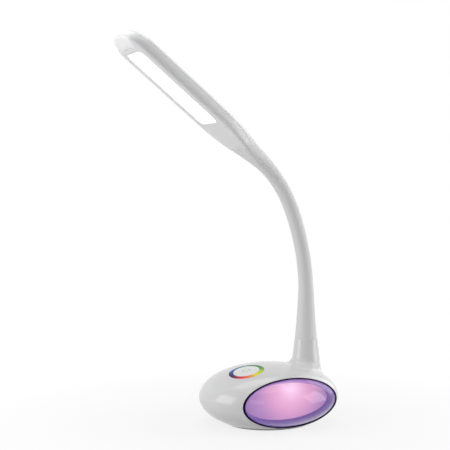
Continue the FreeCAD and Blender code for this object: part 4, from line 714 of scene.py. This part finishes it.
well_violet.feed(
    {
        "Base Color": well_violet.mixed(well_cloud, (0.045, 0.025, 0.13), (0.06, 0.035, 0.16)),
        "Emission Color": well_violet.mixed(painted_glow_rise**2, (0.060, 0.022, 0.16), (0.24, 0.11, 0.34)),
        "Roughness": well_violet.between(well_violet.noise(150.0, 3.0), 0.25, 0.38),
    }
)
well_turn = np.linspace(0, 2 * np.pi, 240, endpoint=False)
light_well = assembled("light_well", rings(oval_rows(well_turn, well_rows)), well_violet, "base")
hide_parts("light_tub")

# Window diffuser: the opal plate behind the well, lit by the coloured lamps. It glows pink,
# brightest over the lamp nearest the middle, and falls off to violet at its ends.
window_glow = Finish("window_glow_opal", {"Emission Strength": 1.0})
glow_x, _, glow_z = window_glow.axes(window_glow.place())
glow_aside, glow_above = glow_x - 0.006, glow_z - 0.0435
glow_reach = window_glow.maths("SQRT", glow_aside * glow_aside + glow_above * glow_above)
glow_cloud = window_glow.between(window_glow.noise(45.0, 2.0), -0.02, 0.02)
window_glow.feed(
    {
        "Base Color": window_glow.mixed(window_glow.noise(30.0, 2.0), (0.20, 0.13, 0.20), (0.22, 0.15, 0.22)),
        "Roughness": window_glow.between(window_glow.noise(200.0, 2.0), 0.4, 0.5),
        "Emission Color": window_glow.ramp(
            glow_reach / 0.055 + glow_cloud,
            [
                (0.0, (0.86, 0.62, 0.76)),
                (0.13, (0.76, 0.46, 0.62)),
                (0.32, (0.62, 0.29, 0.44)),
                (0.53, (0.50, 0.205, 0.38)),
                (0.76, (0.29, 0.135, 0.33)),
                (1.0, (0.22, 0.100, 0.30)),
            ],
        ),
    }
)


def dress(finish, *names):
    """Gives carried CAD solids their finish."""
    for name in names:
        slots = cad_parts[name].data.materials
        slots.clear()
        slots.append(finish.material)


dress(window_glow, "window_diffuser")

# Colour ring: an opal ring round the touch key, let into the shell. Eight small lamps under it
# light it in every colour of the rainbow in turn; the colours stand still here.
RING_OUTER = 19.4
RING_INNER = 14.75
ring_profile = [(RING_OUTER, 5.4), (RING_OUTER, 2.5), (RING_OUTER, 0.45)]
ring_profile += quarter((RING_OUTER - 0.35, 0.45), 0.35, 0, 90, 5)
ring_profile += [(18.4, 0.02), (17.1, -0.10), (15.8, 0.02)]
ring_profile += quarter((RING_INNER + 0.35, 0.45), 0.35, 90, 180, 5)
ring_profile += [(RING_INNER, 2.5), (RING_INNER, 5.4), (RING_OUTER, 5.4)]
RING_COLUMNS = 240


def around(rows, columns):
    """A surface map whose first axis is the share of a turn round a ring."""
    turn = np.linspace(0, 1, columns, endpoint=False)
    return np.stack(np.broadcast_arrays(turn[None, :], np.linspace(0, 1, rows)[:, None]), -1)


def measured(finish, start, *directions):
    """How far a point lies from a start in millimetres along each direction, in metres."""
    offset = finish.node("VectorMath", {"operation": "SUBTRACT"}, {0: finish.place(), 1: tuple(start * MM)})
    dot = {"operation": "DOT_PRODUCT"}
    return [finish.node("VectorMath", dot, {0: offset, 1: tuple(d)}, "Value") for d in directions]


ring_opal = Finish("ring_opal", {"Emission Strength": 0.45, "Specular IOR Level": 0.08})
ring_across, ring_along = measured(ring_opal, TOUCH_PLACE, TOUCH_RIGHT, TOUCH_AWAY)
ring_turn = ring_opal.maths("ARCTAN2", ring_along, ring_across) / (2 * math.pi)
ring_turn = ring_opal.maths("FRACT", ring_turn + 1.0)
rainbow = ring_opal.ramp(
    ring_turn,
    [
        (0.00, (0.015, 0.16, 0.025)),
        (0.09, (0.005, 0.08, 0.025)),
        (0.17, (0.020, 0.13, 0.09)),
        (0.26, (0.020, 0.12, 0.22)),
        (0.34, (0.005, 0.06, 0.28)),
        (0.43, (0.003, 0.010, 0.11)),
        (0.51, (0.030, 0.003, 0.07)),
        (0.56, (0.24, 0.006, 0.04)),
        (0.63, (0.62, 0.03, 0.04)),
        (0.70, (0.62, 0.16, 0.03)),
        (0.77, (0.58, 0.50, 0.01)),
        (0.86, (0.34, 0.46, 0.01)),
        (0.94, (0.06, 0.26, 0.02)),
        (1.00, (0.015, 0.16, 0.025)),
    ],
)
ring_opal.feed(
    {
        "Base Color": ring_opal.mixed(0.02, rainbow, (0.5, 0.5, 0.5)),
        "Emission Color": rainbow,
        "Roughness": ring_opal.between(ring_opal.noise(160.0, 2.0), 0.16, 0.24),
    }
)
colour_ring = assembled(
    "colour_ring",
    [patch(touch_rows(ring_profile, RING_COLUMNS), ring=True, uv=around(len(ring_profile), RING_COLUMNS))],
    ring_opal,
    "base",
)
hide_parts("touch_ring")

# Touch disc: the white key inside the ring. It follows the shell's curve, has a rolled edge
# and a faint grey on-off sign printed under its clear lacquer.
DISC_RADIUS = 14.55
SIGN_RADIUS, SIGN_HALF_LINE = 0.0042, 0.00042
SIGN_GAP_START, SIGN_GAP_HALF = 0.0022, 0.0016
SIGN_BAR_MIDDLE, SIGN_BAR_HALF = 0.0030, 0.0026
disc_profile = [(0.0, 0.05)] + [(r, 0.05 - 0.05 * (r / 14.0) ** 2) for r in np.linspace(0.6, 14.0, 24)]
disc_profile += quarter((DISC_RADIUS - 0.4, 0.4), 0.4, 90, 0, 6)
disc_profile += [(DISC_RADIUS, 2.5), (DISC_RADIUS, 5.4), (12.6, 5.4), (12.6, 2.3), (6.0, 2.3), (0.0, 2.3)]
disc_white = moulded("disc_white", (0.84, 0.84, 0.85), (0.82, 0.82, 0.83), (0.12, 0.20), 220.0, 0.000003)
disc_across, disc_along = measured(disc_white, TOUCH_PLACE, TOUCH_RIGHT, TOUCH_AWAY)
disc_reach = disc_white.maths("SQRT", disc_across * disc_across + disc_along * disc_along)
disc_aside = disc_white.maths("ABSOLUTE", disc_across)
below_gap = disc_white.maths("LESS_THAN", disc_along, SIGN_GAP_START)
beside_gap = disc_white.maths("GREATER_THAN", disc_aside, SIGN_GAP_HALF)
sign_arc = disc_white.maths("COMPARE", disc_reach, SIGN_RADIUS, SIGN_HALF_LINE)
sign_arc = sign_arc * disc_white.maths("MAXIMUM", below_gap, beside_gap)
sign_bar = disc_white.maths("COMPARE", disc_along, SIGN_BAR_MIDDLE, SIGN_BAR_HALF)
sign_bar = sign_bar * disc_white.maths("LESS_THAN", disc_aside, SIGN_HALF_LINE)
sign = disc_white.maths("MAXIMUM", sign_arc, sign_bar)
disc_white.feed({"Base Color": disc_white.mixed(sign * 0.8, (0.84, 0.84, 0.85), (0.34, 0.35, 0.38))})
touch_disc = assembled("touch_disc", rings(touch_rows(disc_profile, 200)), disc_white, "base")
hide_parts("touch_pad")

# Neck sleeve: one soft rubber skin over the neck's steel links, fine and matt. It flares onto
# the stem and spreads into the head. It is moulded in five lengths here, one over each hinge.
NECK_FIRST = 48.0
NECK_WIDE_RADIUS, NECK_WIDE_TURN = 260.0, math.radians(23.0)
NECK_TIGHT_RADIUS, NECK_TIGHT_TURN = 130.0, math.radians(28.8)
NECK_BENT = NECK_FIRST + NECK_WIDE_RADIUS * NECK_WIDE_TURN + NECK_TIGHT_RADIUS * NECK_TIGHT_TURN
NECK_LENGTH = NECK_BENT + 30.5
HINGE_SPACING, BEND_REACH = 45.0, 18.0
HINGES = [NECK_BENT - HINGE_SPACING * k for k in (4, 3, 2, 1, 0)]
NECK_BODIES = ["base", "link_1", "link_2", "link_3", "link_4", "head"]
SLEEVE_RADIUS, SLEEVE_BORE, SLEEVE_SPREAD = 8.1, 6.4, 60.0
FLARE, FLARE_LENGTH = 4.4, 84.0
HEAD_HALF, HEAD_REAR_HALF = 31.0, 22.0
HEAD_LOW, HEAD_HIGH = -7.8, 10.2
HEAD_TOP_ROUND, HEAD_LOW_ROUND, HEAD_LOW_REACH = 14.8, 3.0, 4.5


def neck_at(distance):
    """Point and lean of the neck's centre line at distances along it: a straight, a wide bend,
    a tight bend and a straight, each bend an arc in the upright plane through the stem."""
    distance = np.asarray(distance, dtype=float)
    wide = np.clip((distance - NECK_FIRST) / NECK_WIDE_RADIUS, 0, NECK_WIDE_TURN)
    tight_start = NECK_FIRST + NECK_WIDE_RADIUS * NECK_WIDE_TURN
    lean = wide + np.clip((distance - tight_start) / NECK_TIGHT_RADIUS, 0, NECK_TIGHT_TURN)
    before = np.minimum(distance, NECK_FIRST)
    after = np.maximum(distance - NECK_BENT, 0)
    x = STEM_X - NECK_WIDE_RADIUS * (1 - np.cos(wide)) - NECK_TIGHT_RADIUS * (np.cos(wide) - np.cos(lean))
    z = STEM_TOP + before + NECK_WIDE_RADIUS * np.sin(wide)
    z = z + NECK_TIGHT_RADIUS * (np.sin(lean) - np.sin(wide))
    return np.stack([x - after * np.sin(lean), 0 * x, z + after * np.cos(lean)], -1), lean


def section_radius(angle, half, high, low, top_round, low_round, low_reach):
    """A rounded box section as a radius at an angle from its side, read off its own outline: a flat
    underside, two corner arcs and a flat top."""
    turn = np.radians(np.linspace(0, 90, 60))
    flat = np.linspace(0, 1, 60)
    low_x, low_y = half - low_reach * (1 - np.sin(turn)), low_round * (1 - np.cos(turn)) - low
    top_x, top_y = half - top_round * (1 - np.cos(turn)), high - top_round * (1 - np.sin(turn))
    x = np.concatenate([flat * low_x[0], low_x, top_x, top_x[-1] * (1 - flat)])
    y = np.concatenate([0 * flat - low, low_y, top_y, 0 * flat + high])
    return np.interp(angle, np.arctan2(y, x), np.hypot(x, y))


SLEEVE_COLUMNS = 96
SLEEVE_ANGLES = 2 * np.pi * np.arange(SLEEVE_COLUMNS) / SLEEVE_COLUMNS


def sleeve_rows(distance):
    """The sleeve's skin: round at first, and over the last stretch a rounded box whose sizes and
    corner radii run on to those of the head."""
    distance = np.asarray(distance, dtype=float)
    radius = SLEEVE_RADIUS + FLARE * np.maximum(0, 1 - distance / FLARE_LENGTH) ** 1.8
    share = np.maximum(0, 1 - (NECK_LENGTH - distance) / SLEEVE_SPREAD)
    spread = share**2.2
    sizes = np.stack(
        [
            radius + (HEAD_REAR_HALF - radius) * spread,
            radius + (HEAD_HIGH - radius) * share,
            radius - (HEAD_LOW + radius) * share,
            radius + (HEAD_TOP_ROUND - radius) * spread,
            radius + (HEAD_LOW_ROUND - radius) * spread,
            radius + (HEAD_LOW_REACH - radius) * spread,
        ],
        -1,
    )
    side_angle = np.arctan2(np.sin(SLEEVE_ANGLES), np.abs(np.cos(SLEEVE_ANGLES)))
    reach = np.stack([section_radius(side_angle, *row) for row in sizes])
    return carried(distance, reach * np.cos(SLEEVE_ANGLES), reach * np.sin(SLEEVE_ANGLES))


def carried(distance, across, rise):
    """Places sections on the neck: across is sideways, rise is towards the outside of the bend."""
    centre, lean = neck_at(distance)
    up = np.stack([np.cos(lean), 0 * lean, np.sin(lean)], -1)
    return centre[:, None] + rise[..., None] * up[:, None] - across[..., None] * np.array([0.0, 1.0, 0.0])


def bore_rows(distance):
    """The round bore inside the sleeve."""
    angle = SLEEVE_ANGLES[None, :] + 0 * distance[:, None]
    return carried(distance, SLEEVE_BORE * np.cos(angle), SLEEVE_BORE * np.sin(angle))


def bend_ends(hinge):
    """The two points of the neck's centre line, in metres, between which a hinge's bend is spread."""
    return [tuple(neck_at(hinge + side)[0] * MM) for side in (-BEND_REACH, BEND_REACH)]


soft_light, soft_dark = (0.755, 0.755, 0.762), (0.735, 0.735, 0.742)
sleeve_rubber = moulded("sleeve_soft", soft_light, soft_dark, (0.52, 0.62), 900.0, 0.00003)
sleeve_ends = [0.05] + [(a + b) / 2 for a, b in zip(HINGES, HINGES[1:])] + [NECK_LENGTH]
for k, hinge in enumerate(HINGES):
    start, end = sleeve_ends[k], sleeve_ends[k + 1]
    distance = np.linspace(start, end, int((end - start) / 1.1))
    skin = sleeve_rows(distance)
    bore = bore_rows(distance)
    sleeve = assembled(
        f"neck_sleeve_length_{k + 1}",
        [
            patch(skin, ring=True, uv=around(len(skin), SLEEVE_COLUMNS)),
            *rings(bore, np.stack([skin[0], bore[0]]), np.stack([skin[-1], bore[-1]])),
        ],
        sleeve_rubber,
        None,
    )
    low, high = bend_ends(hinge)
    NECK_BODIES[k + 1]
    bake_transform(sleeve)
    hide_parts(f"neck_sleeve_{k + 1}")
    if k == len(HINGES) - 1:
        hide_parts("head_boot")

# Arm cable: one grey jacketed cable from the control board up through the links to the head.
# It runs loose in the links' bores, through each hinge.
CABLE_RADIUS = 1.1
HEAD_START = neck_at(NECK_LENGTH)[0]
HEAD_LEAN = float(neck_at(NECK_LENGTH)[1])
HEAD_ALONG = np.array([-math.sin(HEAD_LEAN), 0.0, math.cos(HEAD_LEAN)])
HEAD_UP = np.array([math.cos(HEAD_LEAN), 0.0, math.sin(HEAD_LEAN)])
HEAD_NEAR = np.array([0.0, -1.0, 0.0])


def head_point(along, near, up):
    """A point of the head from its distance along it, towards the window side and up from its middle."""
    along, near, up = [np.asarray(v, dtype=float)[..., None] for v in (along, near, up)]
    return HEAD_START + along * HEAD_ALONG + near * HEAD_NEAR + up * HEAD_UP


def rounded_run(corners, spacing=0.8, reach=7.0):
    """A run of points through corners with each corner eased: a running mean over a window of the
    straight runs, which turns a corner into a parabola."""
    corners = np.array(corners, dtype=float)
    along = np.concatenate([[0], np.cumsum(np.linalg.norm(np.diff(corners, axis=0), axis=1))])
    at = np.linspace(0, along[-1], int(along[-1] / spacing))
    window = np.linspace(-reach, reach, 15)
    near_end = np.minimum(at, along[-1] - at)
    spread_at = at[:, None] + window * np.minimum(1, near_end / reach)[:, None]
    return np.stack([np.interp(spread_at, along, corners[:, k]).mean(axis=1) for k in range(3)], -1)


def tube(centre, radius, columns=20):
    """A closed round tube along points in the upright plane through the lamp's middle."""
    ahead = unit(np.gradient(centre, axis=0))
    side = np.array([0.0, 1.0, 0.0]) + 0 * ahead
    up = np.cross(ahead, side)
    turn = np.linspace(0, 2 * np.pi, columns, endpoint=False)[None, :, None]
    rows = centre[:, None] + radius * (np.cos(turn) * side[:, None] + np.sin(turn) * up[:, None])
    return patch(np.concatenate([[rows[0] * 0 + centre[0]], rows, [rows[0] * 0 + centre[-1]]]), ring=True)


CABLE_START_X, CABLE_HEIGHT, HEAD_CABLE_RISE = 26.0, 22.9, 0.9
cable_corners = [(CABLE_START_X, 0, CABLE_HEIGHT), (STEM_X, 0, CABLE_HEIGHT), (STEM_X, 0, STEM_TOP)]
cable_corners += list(neck_at(HINGES)[0])
cable_corners += [head_point(28.5, 0, 0)]
cable_corners += [head_point(along, 0, HEAD_CABLE_RISE) for along in (40.0, 45.0)]
cable_line = rounded_run(cable_corners)
cable_along = np.concatenate([[0], np.cumsum(np.linalg.norm(np.diff(cable_line, axis=0), axis=1))])
break_points = [*neck_at(sleeve_ends[:-1])[0], head_point(2.0, 0, 0)]
cable_breaks = [cable_along[np.argmin(np.linalg.norm(cable_line - point, axis=1))] for point in break_points]
cable_grey = moulded("cable_jacket", (0.62, 0.62, 0.64), (0.56, 0.56, 0.58), (0.40, 0.5), 700.0, 0.00001)
for k, (start, end) in enumerate(zip([0.0, *cable_breaks], [*cable_breaks, cable_along[-1]])):
    chosen = (cable_along >= start - 0.5) & (cable_along <= end + 0.5)
    body = {0: "base", 6: "head"}.get(k)
    cable_skin = tube(cable_line[chosen], CABLE_RADIUS)
    length = assembled(f"arm_cable_length_{k + 1}", [cable_skin], cable_grey, body)
    if body is None:
        low, high = bend_ends(HINGES[k - 1])
        NECK_BODIES[k - 1]
        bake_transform(length)
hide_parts("arm_cable")

# Head covers: two white gloss mouldings that meet in a fine seam round the head. The lower one
# frames the light panel in a shallow recess and has a finger slot near the tip.
HEAD_NOSE = 149.6
SHOULDER = 40.0
SPLIT = 4.2
HEAD_WALL = 2.4
FLOOR = 2.2
STRAIGHT_COLUMNS, NOSE_COLUMNS, REAR_COLUMNS = 100, 72, 30
PANEL_START, PANEL_END, PANEL_HALF, PANEL_CORNER = 42.5, 155.0, 20.2, 6.0
SLOT_PLACE, SLOT_HALF_WIDTH, SLOT_HALF_LENGTH, SLOT_DEPTH = 161.4, 1.0, 8.5, 1.5


def half_width(along):
    """Half the head's width: constant, and eased in over the shoulder by a parabola."""
    return HEAD_HALF - (HEAD_HALF - HEAD_REAR_HALF) * np.clip(1 - along / SHOULDER, 0, 1) ** 2


def head_path():
    """The spine that the half section is carried along: up the near side, round the nose, down the far
    side. Gives where it is, which way is outwards, and half the head's width there."""
    run = HEAD_NOSE * np.linspace(0, 1, STRAIGHT_COLUMNS) ** 1.25
    turn = np.linspace(0, np.pi, NOSE_COLUMNS)[1:-1]
    place = np.concatenate([run, np.full(len(turn), HEAD_NOSE), run[::-1]])
    out_along = np.concatenate([0 * run, np.sin(turn), 0 * run])
    out_near = np.concatenate([1 + 0 * run, np.cos(turn), -1 + 0 * run])
    half = np.concatenate([half_width(run), np.full(len(turn), HEAD_HALF), half_width(run[::-1])])
    return place, out_along, out_near, half


def head_sweep(profile):
    """Carries a half section along the spine. Each point of it is (inset from the side, share of the
    rest of the way to the spine, height)."""
    inset, crown, height = np.array(profile).T[:, :, None]
    place, out_along, out_near, half = head_path()
    out = (half - inset) * (1 - crown)
    return head_point(place + out * out_along, out * out_near, height + 0 * out)


def arc_profile(reach, rise, centre, first, last, steps):
    """An oval arc of a half section: angle 0 faces the side and 90 faces up."""
    turn = np.radians(np.linspace(first, last, steps))
    return [(centre[0] - reach * math.cos(t), 0.0, centre[1] + rise * math.sin(t)) for t in turn]


seam_angle = math.degrees(math.asin((SPLIT + 0.62 - HEAD_HIGH + HEAD_TOP_ROUND) / HEAD_TOP_ROUND))
low_seam_angle = math.degrees(math.asin((SPLIT - 0.30 - HEAD_HIGH + HEAD_TOP_ROUND) / HEAD_TOP_ROUND))
top_centre = (HEAD_TOP_ROUND, HEAD_HIGH - HEAD_TOP_ROUND)
low_centre = (HEAD_LOW_REACH, HEAD_LOW + HEAD_LOW_ROUND)


def lined(skin, lining):
    """A wall between two profiles of one length: skin, land, lining and the cap at its rear end."""
    outer, inner = head_sweep(skin), head_sweep(lining)
    land = np.stack([outer[0], inner[0]])
    ends = [np.stack([outer[:, k], inner[:, k]]) for k in (0, -1)]
    return [patch(outer), patch(inner), patch(land), *[patch(end) for end in ends]]


top_start = arc_profile(HEAD_TOP_ROUND, HEAD_TOP_ROUND, top_centre, seam_angle, seam_angle, 1)[0]
top_skin = [(top_start[0] + 0.42, 0.0, SPLIT + 0.05), (top_start[0] + 0.16, 0.0, SPLIT + 0.10)]
top_skin += [(top_start[0] + 0.02, 0.0, SPLIT + 0.27)]
top_skin += arc_profile(HEAD_TOP_ROUND, HEAD_TOP_ROUND, top_centre, seam_angle, 90, 34)
top_skin += [(HEAD_TOP_ROUND, k, HEAD_HIGH) for k in np.linspace(0.08, 1.0, 10)]
top_lining = [(6.10, 0.0, SPLIT + 0.05 + k * 0.02) for k in range(3)]
top_lining += arc_profile(HEAD_TOP_ROUND - HEAD_WALL, HEAD_TOP_ROUND - HEAD_WALL, top_centre, 46, 90, 34)
top_lining += [(HEAD_TOP_ROUND, k, HEAD_HIGH - HEAD_WALL) for k in np.linspace(0.08, 1.0, 10)]


# Where the painted glow on the nose begins, how it fades in, and how far it reaches towards the near side.
NOSE_GLOW_START, NOSE_GLOW_RUN = 0.157, 0.012
NOSE_GLOW_NEAR, NOSE_GLOW_SOFT = 0.0225, 0.004


def painted_nose_glow(finish, strength):
    """A painted glow on the nose: emission that brightens the covers beyond the panel's end and stops short
    of the near side, standing in for light that falls on the nose."""
    along, near = measured(finish, HEAD_START, HEAD_ALONG, HEAD_NEAR)
    ahead = finish.clamped((along - NOSE_GLOW_START) / NOSE_GLOW_RUN)
    inside = finish.clamped((NOSE_GLOW_NEAR - near) / NOSE_GLOW_SOFT)
    glowing = finish.mixed(ahead * inside, (0.0, 0.0, 0.0), (1.0, 1.0, 1.0))
    finish.feed({"Emission Color": glowing, "Emission Strength": strength})


soft_gloss = {"Specular IOR Level": 0.28}
cap_light, cap_dark = (0.82, 0.82, 0.83), (0.80, 0.80, 0.81)
gloss_white = moulded("cover_gloss", cap_light, cap_dark, (0.06, 0.10), 220.0, 0.000003, soft_gloss)
# The cap's nose gets a painted glow: emission standing in for light that falls on it.
painted_nose_glow(gloss_white, 0.08)
head_cap = assembled("head_cap", lined(top_skin, top_lining), gloss_white, "head")
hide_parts("head_top_cover")

low_start = arc_profile(HEAD_TOP_ROUND, HEAD_TOP_ROUND, top_centre, low_seam_angle, low_seam_angle, 1)[0]
low_skin = [(low_start[0] + 0.45, 0.0, SPLIT), (low_start[0] + 0.14, 0.0, SPLIT - 0.07)]
low_skin += [(low_start[0] + 0.02, 0.0, SPLIT - 0.2)]
low_skin += arc_profile(HEAD_TOP_ROUND, HEAD_TOP_ROUND, top_centre, low_seam_angle, 0, 12)
low_skin += arc_profile(HEAD_LOW_REACH, HEAD_LOW_ROUND, low_centre, 0, -90, 30)
lining_reach, lining_round = HEAD_LOW_REACH - HEAD_WALL, HEAD_LOW_ROUND - HEAD_WALL
lining_centre = (HEAD_LOW_REACH, HEAD_LOW + FLOOR + lining_round)
low_lining = arc_profile(HEAD_TOP_ROUND - HEAD_WALL, HEAD_TOP_ROUND - HEAD_WALL, top_centre, 45.2, 0, 15)
low_lining += arc_profile(lining_reach, lining_round, lining_centre, 0, -90, 30)


def underside_edge(height):
    """The edge of the flat underside as a closed loop: both sides, the nose and the rear."""
    place, out_along, out_near, half = head_path()
    out = half - HEAD_LOW_REACH
    rear = (HEAD_REAR_HALF - HEAD_LOW_REACH) * np.linspace(-1, 1, REAR_COLUMNS)[1:-1]
    along = np.concatenate([place + out * out_along, 0 * rear])
    near = np.concatenate([out * out_near, rear])
    return along, near, height + 0 * along


def opening_edge(along, near, grown):
    """Where a ray from the panel's middle towards each point crosses the panel's rounded opening."""
    middle = (PANEL_START + PANEL_END) / 2
    length, width = (PANEL_END - PANEL_START) / 2 + grown, PANEL_HALF + grown
    corner = PANEL_CORNER + grown
    across, up = np.abs(along - middle), np.abs(near)
    straight = np.minimum(length / np.maximum(across, 1e-9), width / np.maximum(up, 1e-9))
    a = across**2 + up**2
    b = across * (length - corner) + up * (width - corner)
    c = (length - corner) ** 2 + (width - corner) ** 2 - corner**2
    curved = (b + np.sqrt(np.maximum(b**2 - a * c, 0))) / a
    in_corner = (straight * across > length - corner) & (straight * up > width - corner)
    scale = np.where(in_corner, curved, straight)
    return middle + (along - middle) * scale, near * scale


def underside_ring(height, rows, grown, slot):
    """The flat between the opening and the edge, with the finger slot pressed into it."""
    along, near, _ = underside_edge(height)
    inner_along, inner_near = opening_edge(along, near, grown)
    share = np.linspace(0, 1, rows)[:, None]
    u = inner_along + (along - inner_along) * share
    w = inner_near + (near - inner_near) * share
    inside = np.clip((SLOT_HALF_WIDTH + 0.15 - np.abs(u - SLOT_PLACE)) / 0.3, 0, 1)
    inside = inside * np.clip((SLOT_HALF_LENGTH + 0.3 - np.abs(w)) / 0.6, 0, 1)
    return head_point(u, w, height + slot * inside * inside * (3 - 2 * inside))


def opening_wall(profile):
    """Rings round the opening from (how much wider, height) pairs."""
    along, near, _ = underside_edge(0.0)
    edges = [(opening_edge(along, near, grown), height + 0 * along) for grown, height in profile]
    return np.stack([head_point(*edge, height) for edge, height in edges])


lip = [(0.3, 0.0), (0.2, 0.03), (0.09, 0.09), (0.03, 0.2), (0.0, 0.3), (0.0, 1.2), (0.0, FLOOR)]
lip = [(grown, HEAD_LOW + rise) for grown, rise in lip]
pan_light, pan_dark = (0.80, 0.80, 0.81), (0.78, 0.78, 0.79)
pan_satin = moulded("pan_satin", pan_light, pan_dark, (0.14, 0.20), 260.0, 0.000004, soft_gloss)
# The pan's nose gets a stronger painted glow: emission standing in for light that falls on it.
painted_nose_glow(pan_satin, 0.17)
low_outer, low_inner = head_sweep(low_skin), head_sweep(low_lining)
outer_flat = underside_ring(HEAD_LOW, 2, 0.3, 0.0)[-1, -REAR_COLUMNS + 2 :]
inner_flat = underside_ring(HEAD_LOW + FLOOR, 2, 0.0, 0.0)[-1, -REAR_COLUMNS + 2 :]
rear_outer = np.concatenate([low_outer[:, -1], outer_flat, low_outer[::-1, 0]])
rear_inner = np.concatenate([low_inner[:, -1], inner_flat, low_inner[::-1, 0]])
head_pan = assembled(
    "head_pan",
    [
        patch(low_outer),
        patch(low_inner),
        patch(np.stack([low_outer[0], low_inner[0]])),
        patch(np.stack([rear_outer, rear_inner])),
        *rings(underside_ring(HEAD_LOW, 70, 0.3, SLOT_DEPTH), underside_ring(HEAD_LOW + FLOOR, 6, 0.0, 0.0)),
        *rings(opening_wall(lip)),
    ],
    pan_satin,
    "head",
)
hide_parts("head_bottom_cover")

# Light panel: the opal diffuser plate in the head's opening, lit evenly by the lamps behind it.
panel_opal = Finish("panel_opal", {"Emission Strength": 1.0})
panel_cloud = panel_opal.noise(30.0, 2.0)
panel_opal.feed(
    {
        "Base Color": panel_opal.mixed(panel_cloud, (0.86, 0.86, 0.85), (0.88, 0.88, 0.87)),
        "Emission Color": panel_opal.mixed(panel_cloud, (0.97, 0.97, 0.95), (1.0, 1.0, 0.98)),
        "Roughness": panel_opal.between(panel_opal.noise(220.0, 2.0), 0.35, 0.45),
    }
)
dress(panel_opal, "head_diffuser")

# Carried parts: the cover, ballast, boards, links, wires and screws keep their solids, and each
# group gets the finish of its material, from rolled sheet to lacquered board.
def metal(name, light, dark, gloss, grain):
    """Turned or rolled metal: fine lines from a stretched noise, in colour, gloss and height."""
    finish = Finish(name, {"Metallic": 1.0})
    stretched = finish.node("VectorMath", {"operation": "MULTIPLY"}, {0: finish.place(), 1: grain})
    lines = finish.node("TexNoise", {}, {"Vector": stretched, "Scale": 1.0, "Detail": 4.0}, "Fac")
    low, high = gloss
    finish.feed({"Base Color": finish.mixed(lines, dark, light)})
    finish.feed({"Roughness": finish.between(lines, low, high)})
    finish.raised(lines, 0.00001)
    return finish


steel_light, steel_dark = (0.58, 0.58, 0.59), (0.46, 0.46, 0.48)
turned_steel = metal("turned_steel", steel_light, steel_dark, (0.22, 0.38), (300.0, 300.0, 2500.0))
dress(turned_steel, "arm_root_fitting", "arm_root_washer", "arm_root_nut", "arm_head_fitting")
dress(turned_steel, "hose_link_1", "hose_link_2", "hose_link_3", "hose_link_4")
zinc = metal("zinc_plate", (0.66, 0.66, 0.67), (0.52, 0.53, 0.55), (0.28, 0.42), (900.0, 900.0, 900.0))
dress(zinc, "base_screws", "light_box_screws", "touch_board_screws", "board_screws", "head_board_screws")
dress(zinc, "neck_clamp_screws")
blacked_light, blacked_dark = (0.30, 0.30, 0.31), (0.20, 0.20, 0.21)
blacked = metal("ballast_blacked", blacked_light, blacked_dark, (0.45, 0.62), (500.0, 500.0, 500.0))
dress(blacked, "ballast_plate")
brass = metal("turned_brass", (0.80, 0.62, 0.30), (0.70, 0.52, 0.24), (0.20, 0.34), (400.0, 400.0, 2500.0))
dress(brass, "board_standoffs", "dc_pin")
rolled_light, rolled_dark = (0.78, 0.79, 0.80), (0.66, 0.67, 0.68)
aluminium = metal("rolled_aluminium", rolled_light, rolled_dark, (0.28, 0.42), (2500.0, 250.0, 250.0))
dress(aluminium, "head_heat_plate", "neck_clamp_block")

mouldings = (
    ("foot_rubber_black", (0.075, 0.075, 0.08), (0.055, 0.055, 0.06), (0.62, 0.75), 900.0, 0.00003),
    ("cover_textured", (0.78, 0.78, 0.79), (0.75, 0.75, 0.76), (0.42, 0.52), 1200.0, 0.00002),
    ("inner_plain", (0.84, 0.84, 0.85), (0.80, 0.80, 0.81), (0.38, 0.5), 700.0, 0.00001),
    ("socket_nylon", (0.86, 0.82, 0.72), (0.80, 0.75, 0.64), (0.35, 0.45), 700.0, 0.00001),
    ("package_black", (0.035, 0.035, 0.038), (0.022, 0.022, 0.025), (0.42, 0.55), 1500.0, 0.00001),
    ("can_sleeve", (0.07, 0.10, 0.24), (0.05, 0.08, 0.19), (0.22, 0.30), 500.0, 0.000005),
    ("wire_insulation", (0.55, 0.05, 0.04), (0.47, 0.035, 0.03), (0.30, 0.40), 800.0, 0.000005),
    ("led_phosphor", (0.92, 0.84, 0.42), (0.88, 0.76, 0.30), (0.20, 0.32), 900.0, 0.000005),
)
moulded_parts = {
    "foot_rubber_black": ["foot_pad"],
    "cover_textured": ["base_cover"],
    "inner_plain": ["light_box", "head_frame"],
    "socket_nylon": ["board_sockets", "head_connector"],
    "package_black": ["control_chip", "power_inductor", "dc_jack"],
    "can_sleeve": ["power_capacitor"],
    "wire_insulation": ["jack_wires", "touch_wires", "light_wires"],
    "led_phosphor": ["rgb_leds", "touch_leds", "head_leds"],
}
for moulding in mouldings:
    dress(moulded(*moulding), *moulded_parts[moulding[0]])


def circuit_board(name, pitch):
    """A lacquered board: copper tracks under green lacquer, as bands that change course from cell to
    cell of a checker, and a row of tinned pads."""
    finish = Finish(name, {"Coat Weight": 0.3, "Roughness": 0.35})
    x, y, z = finish.axes(finish.place())
    bend = finish.noise(55.0, 1.0)
    lanes = finish.maths("SINE", (x + bend * 0.006) * (2 * math.pi / pitch))
    cross = finish.maths("SINE", (y + z + bend * 0.006) * (2 * math.pi / pitch))
    cells = finish.node("TexChecker", {}, {"Vector": finish.place(), "Scale": 1 / (6 * pitch)}, "Fac")
    tracks = finish.maths("GREATER_THAN", lanes * cells + cross * (1 - cells), 0.72)
    dots = finish.node("TexVoronoi", {}, {"Vector": finish.place(), "Scale": 260.0}, "Distance")
    pads = finish.maths("LESS_THAN", dots, 0.16)
    lacquer = finish.mixed(finish.noise(40.0, 2.0), (0.035, 0.20, 0.085), (0.050, 0.25, 0.110))
    traced = finish.mixed(tracks, lacquer, (0.07, 0.34, 0.15))
    finish.feed(
        {
            "Base Color": finish.mixed(pads, traced, (0.62, 0.60, 0.55)),
            "Metallic": pads * 0.8,
            "Roughness": finish.between(finish.noise(300.0, 2.0), 0.25, 0.38),
        }
    )
    finish.raised(tracks, 0.00003)
    return finish


board_green = circuit_board("board_lacquer", 0.0016)
dress(board_green, "rgb_board", "touch_board", "control_board", "head_led_board")
